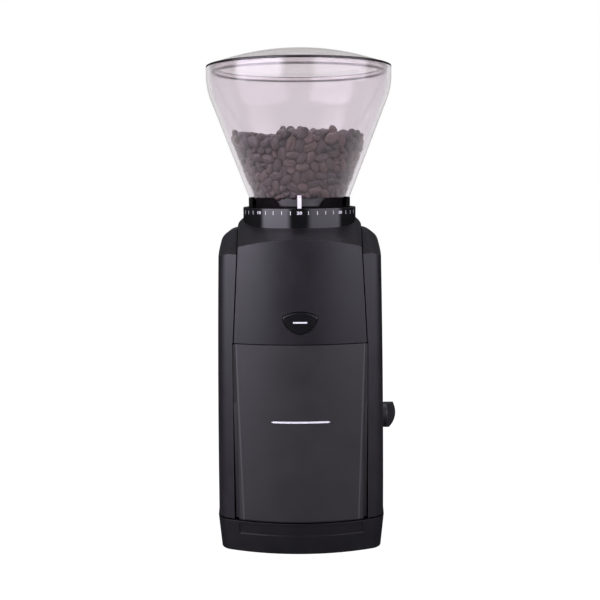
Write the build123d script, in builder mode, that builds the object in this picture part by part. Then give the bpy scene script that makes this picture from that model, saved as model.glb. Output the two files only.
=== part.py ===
from build123d import *
import os
from math import acos, atan, cos, pi, radians, sin, sqrt, tan

# Conical burr coffee grinder, in millimetres.
# Origin: on the rest plane, under the axis of the hopper and the burrs.
# +Z is up, the front with the grounds bin faces -Y and the power knob is on the +X side.

# ---------------------------------------------------------------- driving dimensions

WALL = 2.4  # moulded outer shells
SEAM = 0.25  # half of the gap between two shells

# Outer body
FRONT_FOOT = 72.2  # front face, in front of the axis at the rest plane
FRONT_LEAN = 0.0285  # the front leans back, per millimetre of height
BACK_FOOT = 88.3
BACK_LEAN = 0.018
FRONT_CURVE = 134.7  # radius of the bulging front, in plan
BACK_CURVE = 123.0
SIDE_HALF = 57.3  # half-width at the front corners, low down
SIDE_TAPER = 2.4  # how much of it is lost at SHOULDER_TOP
MIDSHIP_BULGE = 1.9  # the sides bulge by this much between front and back
MIDSHIP_Y = 8.0
REAR_TUCK = 4.5  # the rear corners are this much further in than the middle
FRONT_CORNER = 12.0
LEAST_CORNER = 2.0
REAR_CORNER = 24.0
BODY_LEVELS = (10.0, 125.0, 240.0)
BIG = 240.0  # reach of a cutting block, past the whole body

# Sloping top
SLOPE = 0.244  # fall towards the front
BEND_Y = 38.0  # the level top bends down to the back from here
BEND_RADIUS = 50.0
SHOULDER_TOP = 220.0  # level top of the side covers
SHOULDER_SLOPE_TOP = 220.9  # where their slope would cross the axis
SHOULDER_HALF = 56.7
SHOULDER_ROUND = 11.0
CENTRE_TOP = 232.0
CENTRE_SLOPE_TOP = 232.9
CENTRE_HALF = 46.0
CENTRE_TOP_HALF = 45.2
CENTRE_ROUND = 9.5
CENTRE_CROWN = 300.0  # radius across the level top
FRONT_CROWN = 95.0  # at SLOPE_FRONT in front of the axis; it flattens towards SLOPE_REAR
FLAT_CROWN = 4000.0
SLOPE_FRONT, SLOPE_REAR = 160.0, 100.0
SHOULDER_FLARE = 0.1  # the sides under a shoulder lean out by this, clear of the walls they meet

# Centre column
PANEL_BOTTOM = 146.0
PANEL_HALF = 45.7  # at its lower front edge
PANEL_TAPER = 0.0559  # narrowing per millimetre of height
PANEL_FLARE = 0.0667  # widening per millimetre of depth, up to CENTRE_HALF
PANEL_PROUD = 0.5
NOTCH_TOP = 151.0  # the column's sides stop here, above the bin bay
NOTCH_FRONT = -54.0

# Base
BASE_BOTTOM = 0.3
BASE_TOP = 21.8
BASE_PROUD = 0.5
BASE_TAPER = 2.4  # the sides come in by this towards the table
BASE_FORWARD = 2.0  # the foot of the skirt sits this much further forward
BASE_ROUND = 0.6
DECK = 2.5
COVER_BOTTOM = 23.0
PLATE_BOTTOM, PLATE_TOP = 1.2, 3.2
FOOT_INSET, FOOT_WIDTH = 8.0, 5.0
STRIP_HALF, STRIP_LOW, STRIP_HIGH = 42.9, 13.2, 20.4
STRIP_DEPTH = 0.7

# Bin and its bay
BIN_TOP = 145.5
BIN_BOTTOM = 22.4
BIN_HALF_TOP, BIN_HALF_BOTTOM = 45.2, 43.5
BIN_BACK = 8.0
BIN_WALL = 2.2
EAR_BOTTOM = 104.5
EAR_HALF = 45.9
EAR_FRONT, EAR_DEPTH = -61.0, 12.0
BIN_FRONT_CORNER, BIN_BACK_CORNER = 3.4, 9.0
BAY_HALF = 46.7
BAY_BACK = 10.0
BAY_WALL = 1.6
BAY_CEILING = 147.6
BAY_CEILING_TOP = 150.0
BAY_CEILING_BACK = 22.0

# Hopper and lid
NECK_RADIUS = 36.7
NECK_BOTTOM = 224.4
NECK_TOP = 243.2
HOPPER_WALL = 2.5
CONE_TOP = 320.2  # where the cone's slope would meet the upright rim
RIM_BEND = 43.0
WALL_LIFT = 0.46  # the inner cone is this much higher, so that the slanted wall is as thick as the rim
RIM_RADIUS, RIM_TOP = 66.3, 334.6
LID_RADIUS, LID_BOTTOM, LID_EDGE, LID_APEX = 66.1, 334.9, 335.7, 348.1
LID_EDGE_ROUND = 0.35
LID_WALL = 2.2
SKIRT_RADIUS, SKIRT_BOTTOM = 62.4, 331.0

# Grind adjustment
SCALE_OUTER, SCALE_INNER = 41.0, 38.6
SCALE_BOTTOM, SCALE_TOP = 206.0, 236.2
ADJUSTER_OUTER, ADJUSTER_INNER = 38.3, 30.8
ADJUSTER_FLOOR, ADJUSTER_FLOOR_TOP = 221.0, 224.1
ADJUSTER_WALL_TOP = 234.8
BAND_OUTER, BAND_INNER, BAND_TOP, TAB_TOP = 33.9, 31.6, 237.4, 243.0
THROAT_INNER, THROAT_BOTTOM = 30.4, 233.4
RAMP_BOTTOM = 218.2
FLANGE_BOTTOM, FLANGE_TOP, FLANGE_RADIUS = 214.0, 217.0, 37.4
CARRIER_OUTER, CARRIER_BOTTOM, CARRIER_TOP = 30.2, 204.6, 219.6
SPRING_RING, SPRING_RADIUS, SPRING_WIRE = 34.4, 2.3, 0.45
SPRING_COUNT = 3

# Burrs
RING_RADIUS, RING_BOTTOM, RING_TOP = 26.0, 204.6, 219.0
CONE_BOTTOM, CONE_BURR_TOP = 203.5, 225.0
SHAFT_RADIUS = 4.0
THREAD_RADIUS = 3.0
RUNNING = 0.05  # radial clearance of a running fit

# Grind chamber, chute and gearbox
PADDLE_BOTTOM, PADDLE_TOP, PADDLE_RADIUS = 194.2, 196.0, 29.5
OUTLET_HEIGHT = 9.5  # from the chamber's floor to the roof of the chute
CHAMBER_BOTTOM, CHAMBER_FLOOR, CHAMBER_TOP = 190.0, 193.0, 206.0
CHAMBER_INNER, CHAMBER_OUTER = 31.5, 37.5
OUTLET_HALF = 12.0
CHUTE_WALL = 1.5
CHUTE_FRONT, CHUTE_BACK = -53.5, -37.5
CHUTE_BOTTOM = 148.0
GEARBOX_BOTTOM, GEARBOX_TOP = 162.0, 187.0
GEARBOX_WALL = 2.5
GEARBOX_FLOOR = GEARBOX_BOTTOM + GEARBOX_WALL
GEARBOX_FRONT_RADIUS, GEARBOX_REAR_RADIUS = 34.0, 28.0
BEARING_RADIUS = 11.0
BEARING_TOP, UPPER_BEARING_BOTTOM = 169.0, 184.6
GEARBOX_SCREW, GEARBOX_SCREW_HEAD, GEARBOX_SCREW_BOSS = 1.5, 2.8, 3.2

# Two-stage reduction
PRESSURE = radians(20)
BACKLASH = 0.10
DRIVE_TEETH, SMALL_TEETH, STAGE2_MODULE = 50, 12, 1.0
BIG_TEETH, PINION_TEETH, STAGE1_MODULE = 42, 10, 0.8
DRIVE_ADDENDUM, BIG_ADDENDUM = 0.72, 0.58  # shortened to clear the small pinions
IDLER_Y = STAGE2_MODULE * (DRIVE_TEETH + SMALL_TEETH) / 2
MOTOR_Y = IDLER_Y + STAGE1_MODULE * (BIG_TEETH + PINION_TEETH) / 2
IDLER_PIN = 2.5
DRIVE_BOTTOM, SMALL_GEAR_BOTTOM, BIG_GEAR_BOTTOM, PINION_BOTTOM = 170.5, 170.3, 179.5, 179.2
DRIVE_HUB_BOTTOM, DRIVE_HUB_TOP, DRIVE_HUB_RADIUS = 169.6, 180.0, 9.0
PINION_ADDENDUM = 0.9

# Motor
CAN_RADIUS, CAN_BOTTOM, CAN_TOP = 26.0, 96.0, 162.0
CAN_WALL = 1.6
BELL_BOTTOM = 88.0
MOTOR_SHAFT = 1.6
MOTOR_SHAFT_BOTTOM, MOTOR_SHAFT_TOP = 89.6, 185.0
MOTOR_BEARING = 6.0
ARMATURE_RADIUS, ARMATURE_BOTTOM, ARMATURE_TOP = 17.5, 110.0, 148.0
COMMUTATOR_BOTTOM, COMMUTATOR_TOP, COMMUTATOR_RADIUS = 99.0, 107.0, 7.5
MAGNET_BOTTOM, MAGNET_TOP = 106.0, 152.0
BRUSH_X = COMMUTATOR_RADIUS + 4.4

# Controls
BUTTON_Z = 161.0
BUTTON_PROUD = 0.8
BUTTON_DEPTH = 6.0
PLUNGER_RADIUS, PLUNGER_LENGTH = 1.4, 3.4
PLUNGER_BACK, SWITCH_BACK = 58.6, 54.7  # how far in front of the axis
PULSE_SWITCH = (13, 4.4, 9)
BUTTON_TOP, BUTTON_POINT = 168.0, 153.1  # middle of its arched top, and its lower tip
BUTTON_CORNER, BUTTON_FLANK = (12.0, 164.5), (8.4, 157.4)
BUTTON_GAP, BUTTON_FLANGE = 0.35, 1.6
KNOB_Y, KNOB_Z = 20.0, 74.8
KNOB_RADIUS, KNOB_INNER, KNOB_FACE = 9.7, 59.7, 66.6
GRIP_LOW, GRIP_MIDDLE, GRIP_HIGH = 68.0, 73.0, 71.6  # how far out the finger grip reaches
ROTARY_SWITCH = (18, 15, 17)
ROTARY_SWITCH_X = 46.0
SWITCH_SHAFT = 3.0

# Rear and electrics
REAR_TOP = 150.4
REAR_PARTING = 30.0  # the rear cover reaches forward to here
VENT_Z = 110.0
GLAND_Z, GLAND_BORE, GLAND_RADIUS = 38.0, 3.5, 6.0
GLAND_NUT, GLAND_FLANGE = 8.0, 8.5  # radii of the nut inside the wall and of the flange outside
GLAND_START, GLAND_NUT_Y, GLAND_FLANGE_Y = 76.0, 80.0, 88.0
BOARD_BOTTOM, BOARD_TOP = 30.0, 31.6
BOARD_CENTRE, BOARD_SIZE = (0, 45), (72, 60)
CAPACITOR_CENTRE, CAPACITOR_RADIUS, CAPACITOR_HEIGHT = (-18, 36), 9.0, 32.0
SINK_CENTRE, SINK_WIDTH, SINK_DEPTH, SINK_HEIGHT, FIN = (14, 52), 26.0, 16.0, 28.0, 1.4
TERMINAL_CENTRE, TERMINAL_SIZE, TERMINAL_PITCH = (-18, 62), (20, 10, 11), 6.4


# ---------------------------------------------------------------- shared helpers

STANDING = (Align.CENTER, Align.CENTER, Align.MIN)  # a block that stands on its location


def sag(radius, x):
    """Height lost by an arc of this radius at a distance x from its middle."""
    return radius - sqrt(radius * radius - x * x)


def front_y(z):
    """Front face of the side covers, on the middle plane."""
    return -FRONT_FOOT + FRONT_LEAN * z


def back_y(z):
    """Back face, on the middle plane."""
    return BACK_FOOT - BACK_LEAN * z


def side_half(z):
    """Half-width of the body at its front corners."""
    return SIDE_HALF - SIDE_TAPER * (z / SHOULDER_TOP) ** 2.5


def body_section(z, inset):
    """Plan outline of the body at height z, moved inwards by inset."""
    corner_x = side_half(z) - inset
    corner_y = front_y(z) + inset + sag(FRONT_CURVE, corner_x)
    middle_x = side_half(z) + MIDSHIP_BULGE - inset
    rear_x = middle_x - REAR_TUCK
    rear_y = back_y(z) - inset - sag(BACK_CURVE, rear_x)
    with BuildSketch(Plane.XY.offset(z)) as section:
        with BuildLine():
            ThreePointArc((-corner_x, corner_y), (0, front_y(z) + inset), (corner_x, corner_y))
            ThreePointArc((corner_x, corner_y), (middle_x, MIDSHIP_Y), (rear_x, rear_y))
            ThreePointArc((rear_x, rear_y), (0, back_y(z) - inset), (-rear_x, rear_y))
            ThreePointArc((-rear_x, rear_y), (-middle_x, MIDSHIP_Y), (-corner_x, corner_y))
        make_face()
        fillet(section.vertices().sort_by(Axis.Y)[:2], max(FRONT_CORNER - inset, LEAST_CORNER))
        fillet(section.vertices().sort_by(Axis.Y)[-2:], REAR_CORNER - inset)
    return section.sketch


def body_form(inset):
    """The body's walls, taller than the body, moved inwards by inset."""
    with BuildPart() as form:
        loft(sections=[body_section(z, inset) for z in BODY_LEVELS])
    return form.part


def column_section(z, inset):
    """Plan outline of the centre column at height z, moved inwards by inset."""
    front_x = PANEL_HALF - PANEL_TAPER * (z - PANEL_BOTTOM) - inset
    beside_x = CENTRE_HALF - inset
    front = front_y(z) - PANEL_PROUD + inset
    back = back_y(z) + PANEL_PROUD - inset
    edge_y = front + sag(FRONT_CURVE, front_x)
    beside_y = edge_y + (beside_x - front_x) / PANEL_FLARE
    rear_y = back - sag(BACK_CURVE, beside_x)
    with BuildSketch(Plane.XY.offset(z)) as section:
        with BuildLine():
            ThreePointArc((-front_x, edge_y), (0, front), (front_x, edge_y))
            Polyline((front_x, edge_y), (beside_x, beside_y), (beside_x, rear_y))
            ThreePointArc((beside_x, rear_y), (0, back), (-beside_x, rear_y))
            Polyline((-beside_x, rear_y), (-beside_x, beside_y), (-front_x, edge_y))
        make_face()
        fillet(section.vertices().sort_by(Axis.Y)[:2], 1.0)
    return section.sketch


def column_form(inset):
    """The centre column's walls, moved inwards by inset."""
    with BuildPart() as form:
        loft(sections=[column_section(PANEL_BOTTOM - 2, inset), column_section(240, inset)])
    return form.part


def top_profile(plane, half, height, rounding, crown, inset):
    """Crowned section with rounded shoulders; its middle top, before the inset, is the plane's origin."""
    half = half - inset
    shoulder = -inset - sag(crown, half)
    foot = half + SHOULDER_FLARE * (height + shoulder)
    with BuildSketch(plane) as profile:
        with BuildLine():
            ThreePointArc((-half, shoulder), (0, -inset), (half, shoulder))
            Polyline((half, shoulder), (foot, -height), (-foot, -height), (-half, shoulder))
        make_face()
        fillet(profile.vertices().sort_by(Axis.Y)[-2:], rounding - inset)
    return profile.sketch


def top_form(top, slope_top, half, rounding, crowns, inset):
    """Everything under a top that slopes to the front, runs level and bends down to the back; crowns are
    the radii across the level part and at SLOPE_FRONT."""
    crown, front_crown = crowns
    tilt = atan(SLOPE)
    sloped = Plane((0, 0, slope_top), x_dir=(1, 0, 0), z_dir=(0, -cos(tilt), -sin(tilt)))
    front_profile = top_profile(sloped.offset(SLOPE_FRONT), half, 2 * top, rounding, front_crown, inset)
    rear_profile = top_profile(sloped.offset(-SLOPE_REAR), half, 2 * top, rounding, FLAT_CROWN, inset)
    level = Plane((0, BEND_Y, top), x_dir=(1, 0, 0), z_dir=(0, -1, 0))
    level_profile = top_profile(level, half, top, rounding, crown, inset)
    bend_profile = top_profile(level, half, BEND_RADIUS, rounding, crown, inset)
    bend_axis = Axis((0, BEND_Y, top - BEND_RADIUS), (-1, 0, 0))
    with BuildPart() as form:
        extrude(level_profile, amount=BIG)
        revolve(bend_profile, axis=bend_axis, revolution_arc=90)
        with Locations((0, BEND_Y, 0)):
            Box(BIG, BEND_RADIUS, top - BEND_RADIUS, align=(Align.CENTER, Align.MIN, Align.MIN))
        loft(sections=[rear_profile, front_profile], ruled=True, mode=Mode.INTERSECT)
    return form.part


def column_solid(inset):
    """Centre column with its crowned sloping top."""
    crowns = (CENTRE_CROWN, FRONT_CROWN)
    top = top_form(CENTRE_TOP, CENTRE_SLOPE_TOP, CENTRE_TOP_HALF, CENTRE_ROUND, crowns, inset)
    with BuildPart() as column:
        add(column_form(inset))
        add(top, mode=Mode.INTERSECT)
    return column.part


def shoulder_solid(inset):
    """Body as wide as the side covers, with their rounded shoulders."""
    crowns = (FLAT_CROWN, FLAT_CROWN)
    top = top_form(SHOULDER_TOP, SHOULDER_SLOPE_TOP, SHOULDER_HALF, SHOULDER_ROUND, crowns, inset)
    with BuildPart() as body:
        add(body_form(inset))
        add(top, mode=Mode.INTERSECT)
    return body.part


def shield_sketch(plane, grow):
    """Outline of the pulse button: a shield with an arched top, larger all round by grow."""
    corner = (BUTTON_CORNER[0] + 1.3 * grow, BUTTON_CORNER[1] + 0.3 * grow)
    flank = (BUTTON_FLANK[0] + 0.8 * grow, BUTTON_FLANK[1] - 0.6 * grow)
    point = (0, BUTTON_POINT - 1.2 * grow)
    with BuildSketch(plane) as shield:
        with BuildLine():
            ThreePointArc((-corner[0], corner[1]), (0, BUTTON_TOP + grow), corner)
            ThreePointArc(corner, flank, point)
            ThreePointArc(point, (-flank[0], flank[1]), (-corner[0], corner[1]))
        make_face()
        fillet(shield.vertices().sort_by(Axis.Y)[-2:], 2.0 + grow)
        fillet(shield.vertices().sort_by(Axis.Y)[0], 4.0 + grow)
    return shield.sketch


def involute(angle):
    return tan(angle) - angle


def gear_sketch(z, centre, teeth, module, addendum, first_tooth):
    """Involute gear outline; first_tooth is the direction of one tooth, in degrees."""
    pitch = teeth * module / 2
    base = pitch * cos(PRESSURE)
    tip = pitch + addendum * module
    root = pitch - 1.25 * module
    start = max(base, root)
    thick = pi / (2 * teeth) - BACKLASH / (2 * pitch) + involute(PRESSURE)

    def at(radius, angle):
        return (centre[0] + radius * cos(angle), centre[1] + radius * sin(angle))

    def half_tooth(radius):
        return thick - involute(acos(min(1.0, base / radius)))

    radii = [start + (tip - start) * step / 4 for step in range(5)]
    with BuildSketch(Plane.XY.offset(z)) as gear:
        with BuildLine():
            for tooth in range(teeth):
                middle = radians(first_tooth) + 2 * pi * tooth / teeth
                following = middle + 2 * pi / teeth
                rising = [at(r, middle - half_tooth(r)) for r in radii]
                falling = [at(r, middle + half_tooth(r)) for r in reversed(radii)]
                root_start = at(root, middle + half_tooth(start))
                root_end = at(root, following - half_tooth(start))
                Spline(*rising)
                ThreePointArc(rising[-1], at(tip, middle), falling[0])
                Spline(*falling)
                if root < start:
                    Line(falling[-1], root_start)
                ThreePointArc(root_start, at(root, middle + pi / teeth), root_end)
                if root < start:
                    Line(root_end, at(start, following - half_tooth(start)))
        make_face()
    return gear.sketch


def ring(bottom, top, outer, inner, centre=(0, 0)):
    """A plain ring standing along Z."""
    with BuildPart() as tube:
        with BuildSketch(Plane.XY.offset(bottom)):
            with Locations(centre):
                Circle(outer)
                Circle(inner, mode=Mode.SUBTRACT)
        extrude(amount=top - bottom)
    return tube.part


def save(piece, name):
    """Labels a finished sub-part and writes it."""
    piece.part.label = name
    export_step(piece.part, f"parts/{name}.step")


os.makedirs("parts", exist_ok=True)

# ---------------------------------------------------------------- base and feet

def base_foot(z, inset):
    """Plan outline of the base at its foot, set forward and moved inwards by inset."""
    return body_section(z, inset + BASE_TAPER - BASE_PROUD).moved(Location((0, -BASE_FORWARD, 0)))


def base_form(inset):
    """The base skirt, narrower towards the table, moved inwards by inset."""
    low = base_foot(BASE_BOTTOM, inset)
    high = body_section(BASE_TOP, inset - BASE_PROUD)
    with BuildPart() as form:
        loft(sections=[low, high])
    return form.part


BOSS_POINTS = [(-40, -46), (40, -46), (-38, 62), (38, 62)]
BOSS_RADIUS = 4.0
BASE_SCREW_RADIUS, BASE_SCREW_HEAD, BASE_SCREW_DEPTH = 1.6, 3.0, 12.0
BOARD_POSTS = [(-32, 20), (32, 20), (-32, 70), (32, 70)]
BOARD_POST_RADIUS = 3.0

with BuildPart() as name_strip_tool:
    with Locations((0, -60, (STRIP_LOW + STRIP_HIGH) / 2)):
        Box(2 * STRIP_HALF, 40, STRIP_HIGH - STRIP_LOW)
    add(base_form(STRIP_DEPTH), mode=Mode.SUBTRACT)

with BuildPart() as base_room:
    add(base_form(DECK))
    with Locations((0, 0, BASE_TOP - DECK)):
        Box(BIG, BIG, BIG, align=STANDING, mode=Mode.SUBTRACT)

with BuildPart() as base:
    add(base_form(0))
    fillet(base.faces().sort_by(Axis.Z)[0].outer_wire().edges(), BASE_ROUND)
    add(base_room.part, mode=Mode.SUBTRACT)
    add(name_strip_tool.part, mode=Mode.SUBTRACT)
    with BuildSketch(Plane.XY.offset(PLATE_TOP)):
        with Locations(*BOSS_POINTS):
            Circle(BOSS_RADIUS)
    extrude(amount=BASE_TOP - DECK - PLATE_TOP)
    with BuildSketch(Plane.XY.offset(BASE_TOP)):
        with Locations(*BOARD_POSTS):
            Circle(BOARD_POST_RADIUS)
    extrude(amount=BOARD_BOTTOM - BASE_TOP)
    with BuildSketch(Plane.XY.offset(PLATE_TOP)):
        with Locations(*BOSS_POINTS):
            Circle(BASE_SCREW_RADIUS)
    extrude(amount=BASE_SCREW_DEPTH, mode=Mode.SUBTRACT)
save(base, "base")

with BuildPart() as bottom_plate:
    with BuildSketch(Plane.XY.offset(PLATE_BOTTOM)):
        add(base_foot(0, DECK + BASE_PROUD + 0.4))
    extrude(amount=PLATE_TOP - PLATE_BOTTOM)
    with BuildSketch(Plane.XY.offset(PLATE_BOTTOM)):
        with Locations(*BOSS_POINTS):
            Circle(BASE_SCREW_RADIUS)
        with Locations((0, 40)):
            with GridLocations(0, 6, 1, 6):
                SlotOverall(46, 2.4)
    extrude(amount=PLATE_TOP - PLATE_BOTTOM, mode=Mode.SUBTRACT)
save(bottom_plate, "bottom_plate")

with BuildPart() as foot_ring:
    with BuildSketch():
        add(body_section(0, FOOT_INSET))
        add(body_section(0, FOOT_INSET + FOOT_WIDTH), mode=Mode.SUBTRACT)
    extrude(amount=PLATE_BOTTOM)
save(foot_ring, "foot_ring")

# ---------------------------------------------------------------- outer shells

centre_wall = column_solid(-SEAM)
button_hole = shield_sketch(Plane.XZ.offset(50), BUTTON_GAP)
column_outer = column_solid(SEAM)

with BuildPart() as upper_housing:
    add(column_outer)
    Box(BIG, BIG, PANEL_BOTTOM, align=STANDING, mode=Mode.SUBTRACT)
    add(column_solid(WALL), mode=Mode.SUBTRACT)
    with Locations((0, NOTCH_FRONT, PANEL_BOTTOM)):
        Box(BIG, BIG, NOTCH_TOP - PANEL_BOTTOM, align=(Align.CENTER, Align.MIN, Align.MIN),
            mode=Mode.SUBTRACT)
    with BuildSketch(Plane.XY.offset(CHAMBER_TOP)):
        Circle(SCALE_OUTER + 0.1)
    extrude(amount=BIG, mode=Mode.SUBTRACT)
    extrude(button_hole, amount=40, mode=Mode.SUBTRACT)
save(upper_housing, "upper_housing")

with BuildPart() as middle_tool:
    add(centre_wall)
    with Locations((0, 0, PANEL_BOTTOM)):
        Box(2 * (CENTRE_HALF + SEAM), BIG, BIG, align=(Align.CENTER, Align.CENTER, Align.MAX))

with BuildPart() as side_shell:
    add(shoulder_solid(0))
    Box(BIG, BIG, COVER_BOTTOM, align=STANDING, mode=Mode.SUBTRACT)
    add(shoulder_solid(WALL), mode=Mode.SUBTRACT)
    add(middle_tool.part, mode=Mode.SUBTRACT)

with BuildPart() as left_side_cover:
    add(side_shell.part)
    split(bisect_by=Plane.YZ, keep=Keep.BOTTOM)
save(left_side_cover, "left_side_cover")

with BuildPart() as right_side_cover:
    add(side_shell.part)
    split(bisect_by=Plane.YZ, keep=Keep.TOP)
    with BuildSketch(Plane.YZ.offset(40)):
        with Locations((KNOB_Y, KNOB_Z)):
            Circle(SWITCH_SHAFT + 0.5)
    extrude(amount=30, mode=Mode.SUBTRACT)
save(right_side_cover, "right_side_cover")

with BuildPart() as rear_cover:
    add(body_form(0))
    Box(BIG, BIG, COVER_BOTTOM, align=STANDING, mode=Mode.SUBTRACT)
    with Locations((0, 0, REAR_TOP)):
        Box(BIG, BIG, BIG, align=STANDING, mode=Mode.SUBTRACT)
    add(body_form(WALL), mode=Mode.SUBTRACT)
    with Locations((0, REAR_PARTING, 0)):
        Box(2 * (CENTRE_HALF - SEAM), BIG, BIG, align=(Align.CENTER, Align.MIN, Align.MIN),
            mode=Mode.INTERSECT)
    with BuildSketch(Plane.XZ.offset(-60)):
        with Locations((0, VENT_Z)):
            with GridLocations(0, 6, 1, 9):
                SlotOverall(56, 2.6)
        with Locations((0, GLAND_Z)):
            Circle(GLAND_RADIUS + RUNNING)
    extrude(amount=-60, mode=Mode.SUBTRACT)
save(rear_cover, "rear_cover")

with BuildPart() as bin_bay:
    add(body_form(WALL + 0.3))
    with Locations((0, BAY_BACK + BAY_WALL, BASE_TOP)):
        Box(2 * (BAY_HALF + BAY_WALL), BIG, BIN_TOP - BASE_TOP, align=(Align.CENTER, Align.MAX, Align.MIN),
            mode=Mode.INTERSECT)
    with Locations((0, BAY_BACK, BASE_TOP)):
        Box(2 * BAY_HALF, BIG, BIG, align=(Align.CENTER, Align.MAX, Align.MIN), mode=Mode.SUBTRACT)
    with Locations((0, BAY_BACK + BAY_WALL, BIN_TOP)):
        Box(2 * (BAY_HALF + BAY_WALL), BAY_WALL, BAY_CEILING - BIN_TOP,
            align=(Align.CENTER, Align.MAX, Align.MIN))
    with BuildSketch(Plane.XY.offset(BAY_CEILING)):
        with Locations((0, (NOTCH_FRONT + 1 + BAY_CEILING_BACK) / 2)):
            Rectangle(2 * (BAY_HALF + BAY_WALL), BAY_CEILING_BACK - NOTCH_FRONT - 1)
        with Locations((0, (CHUTE_FRONT + CHUTE_BACK) / 2)):
            Rectangle(2 * (OUTLET_HALF + CHUTE_WALL), CHUTE_BACK - CHUTE_FRONT, mode=Mode.SUBTRACT)
    extrude(amount=BAY_CEILING_TOP - BAY_CEILING)
save(bin_bay, "bin_bay")

DAMPER_POINTS = [(-24, -18), (24, -18), (-24, 14), (24, 14)]

with BuildPart() as damper_mounts:
    with BuildSketch(Plane.XY.offset(BAY_CEILING_TOP)):
        with Locations(*DAMPER_POINTS):
            Circle(5)
    extrude(amount=GEARBOX_BOTTOM - BAY_CEILING_TOP)
save(damper_mounts, "damper_mounts")

with BuildPart() as cable_gland:
    for start, radius, length in (
        (GLAND_START, GLAND_RADIUS, 14),
        (GLAND_NUT_Y, GLAND_NUT, 4),
        (GLAND_FLANGE_Y, GLAND_FLANGE, 2.4),
    ):
        with BuildSketch(Plane.XZ.offset(-start)):
            with Locations((0, GLAND_Z)):
                Circle(radius)
        extrude(amount=-length)
    with BuildSketch(Plane.XZ.offset(-GLAND_START)):
        with Locations((0, GLAND_Z)):
            Circle(GLAND_BORE)
    extrude(amount=-BIG, mode=Mode.SUBTRACT)
    add(rear_cover.part, mode=Mode.SUBTRACT)
save(cable_gland, "cable_gland")

# ---------------------------------------------------------------- grounds bin

def bin_section(z, inset):
    """Plan outline of the bin at height z, moved inwards by inset; its front carries on the panel's."""
    share = (z - BIN_BOTTOM) / (BIN_TOP - BIN_BOTTOM)
    half = BIN_HALF_BOTTOM + share * (BIN_HALF_TOP - BIN_HALF_BOTTOM) - inset
    front = front_y(z) - PANEL_PROUD + inset
    edge_y = front + sag(FRONT_CURVE, half)
    back = BIN_BACK - inset
    with BuildSketch(Plane.XY.offset(z)) as section:
        with BuildLine():
            ThreePointArc((-half, edge_y), (0, front), (half, edge_y))
            Polyline((half, edge_y), (half, back), (-half, back), (-half, edge_y))
        make_face()
        fillet(section.vertices().sort_by(Axis.Y)[:2], BIN_FRONT_CORNER - inset)
        fillet(section.vertices().sort_by(Axis.Y)[-2:], BIN_BACK_CORNER - inset)
    return section.sketch


with BuildPart() as bin_room:
    loft(sections=[bin_section(BIN_BOTTOM + BIN_WALL, BIN_WALL), bin_section(BIN_TOP + 1, BIN_WALL)])

with BuildPart() as grounds_bin:
    loft(sections=[bin_section(BIN_BOTTOM, 0), bin_section(BIN_TOP, 0)])
    fillet(grounds_bin.faces().sort_by(Axis.Z)[0].outer_wire().edges(), 1.2)
    for side in (-1, 1):
        with Locations((side * (EAR_HALF - 1.5), EAR_FRONT, EAR_BOTTOM)):
            Box(3, EAR_DEPTH, BIN_TOP - 0.3 - EAR_BOTTOM, align=(Align.CENTER, Align.MIN, Align.MIN))
    add(bin_room.part, mode=Mode.SUBTRACT)
save(grounds_bin, "grounds_bin")

# ---------------------------------------------------------------- hopper and lid

with BuildPart() as hopper:
    with BuildSketch(Plane.XZ) as hopper_profile:
        with BuildLine():
            inner_neck = NECK_RADIUS - HOPPER_WALL
            inner_rim = RIM_RADIUS - HOPPER_WALL
            Polyline((inner_neck, NECK_BOTTOM), (NECK_RADIUS, NECK_BOTTOM), (NECK_RADIUS, NECK_TOP),
                     (RIM_RADIUS, CONE_TOP), (RIM_RADIUS, RIM_TOP), (inner_rim, RIM_TOP),
                     (inner_rim, CONE_TOP + WALL_LIFT), (inner_neck, NECK_TOP + WALL_LIFT), close=True)
        make_face()
        for corner, bend in (((RIM_RADIUS, CONE_TOP), RIM_BEND),
                             ((inner_rim, CONE_TOP + WALL_LIFT), RIM_BEND - HOPPER_WALL)):
            fillet(hopper_profile.vertices().sort_by_distance(corner)[0], bend)
    revolve(axis=Axis.Z)
save(hopper, "hopper")

with BuildPart() as hopper_lid:
    with BuildSketch(Plane.XZ) as lid_profile:
        with BuildLine():
            dome = (LID_RADIUS ** 2 + (LID_APEX - LID_EDGE) ** 2) / (2 * (LID_APEX - LID_EDGE))
            half_way = LID_RADIUS / 2
            ThreePointArc((0, LID_APEX), (half_way, LID_APEX - sag(dome, half_way)), (LID_RADIUS, LID_EDGE))
            Polyline((LID_RADIUS, LID_EDGE), (LID_RADIUS, LID_BOTTOM), (SKIRT_RADIUS, LID_BOTTOM),
                     (SKIRT_RADIUS, SKIRT_BOTTOM), (SKIRT_RADIUS - LID_WALL, SKIRT_BOTTOM),
                     (SKIRT_RADIUS - LID_WALL, LID_BOTTOM))
            under_x = SKIRT_RADIUS - LID_WALL
            under_apex = LID_APEX - LID_WALL
            under = (under_x ** 2 + (under_apex - LID_BOTTOM) ** 2) / (2 * (under_apex - LID_BOTTOM))
            ThreePointArc((under_x, LID_BOTTOM), (under_x / 2, under_apex - sag(under, under_x / 2)),
                          (0, under_apex))
            Line((0, under_apex), (0, LID_APEX))
        make_face()
        fillet(lid_profile.vertices().sort_by_distance((LID_RADIUS, LID_EDGE))[0], LID_EDGE_ROUND)
    revolve(axis=Axis.Z)
save(hopper_lid, "hopper_lid")

# ---------------------------------------------------------------- grind adjustment

with BuildPart() as scale_ring:
    add(ring(SCALE_BOTTOM, SCALE_TOP, SCALE_OUTER, SCALE_INNER))
    fillet(scale_ring.edges().group_by(Axis.Z)[-1], 0.5)
save(scale_ring, "scale_ring")


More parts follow.
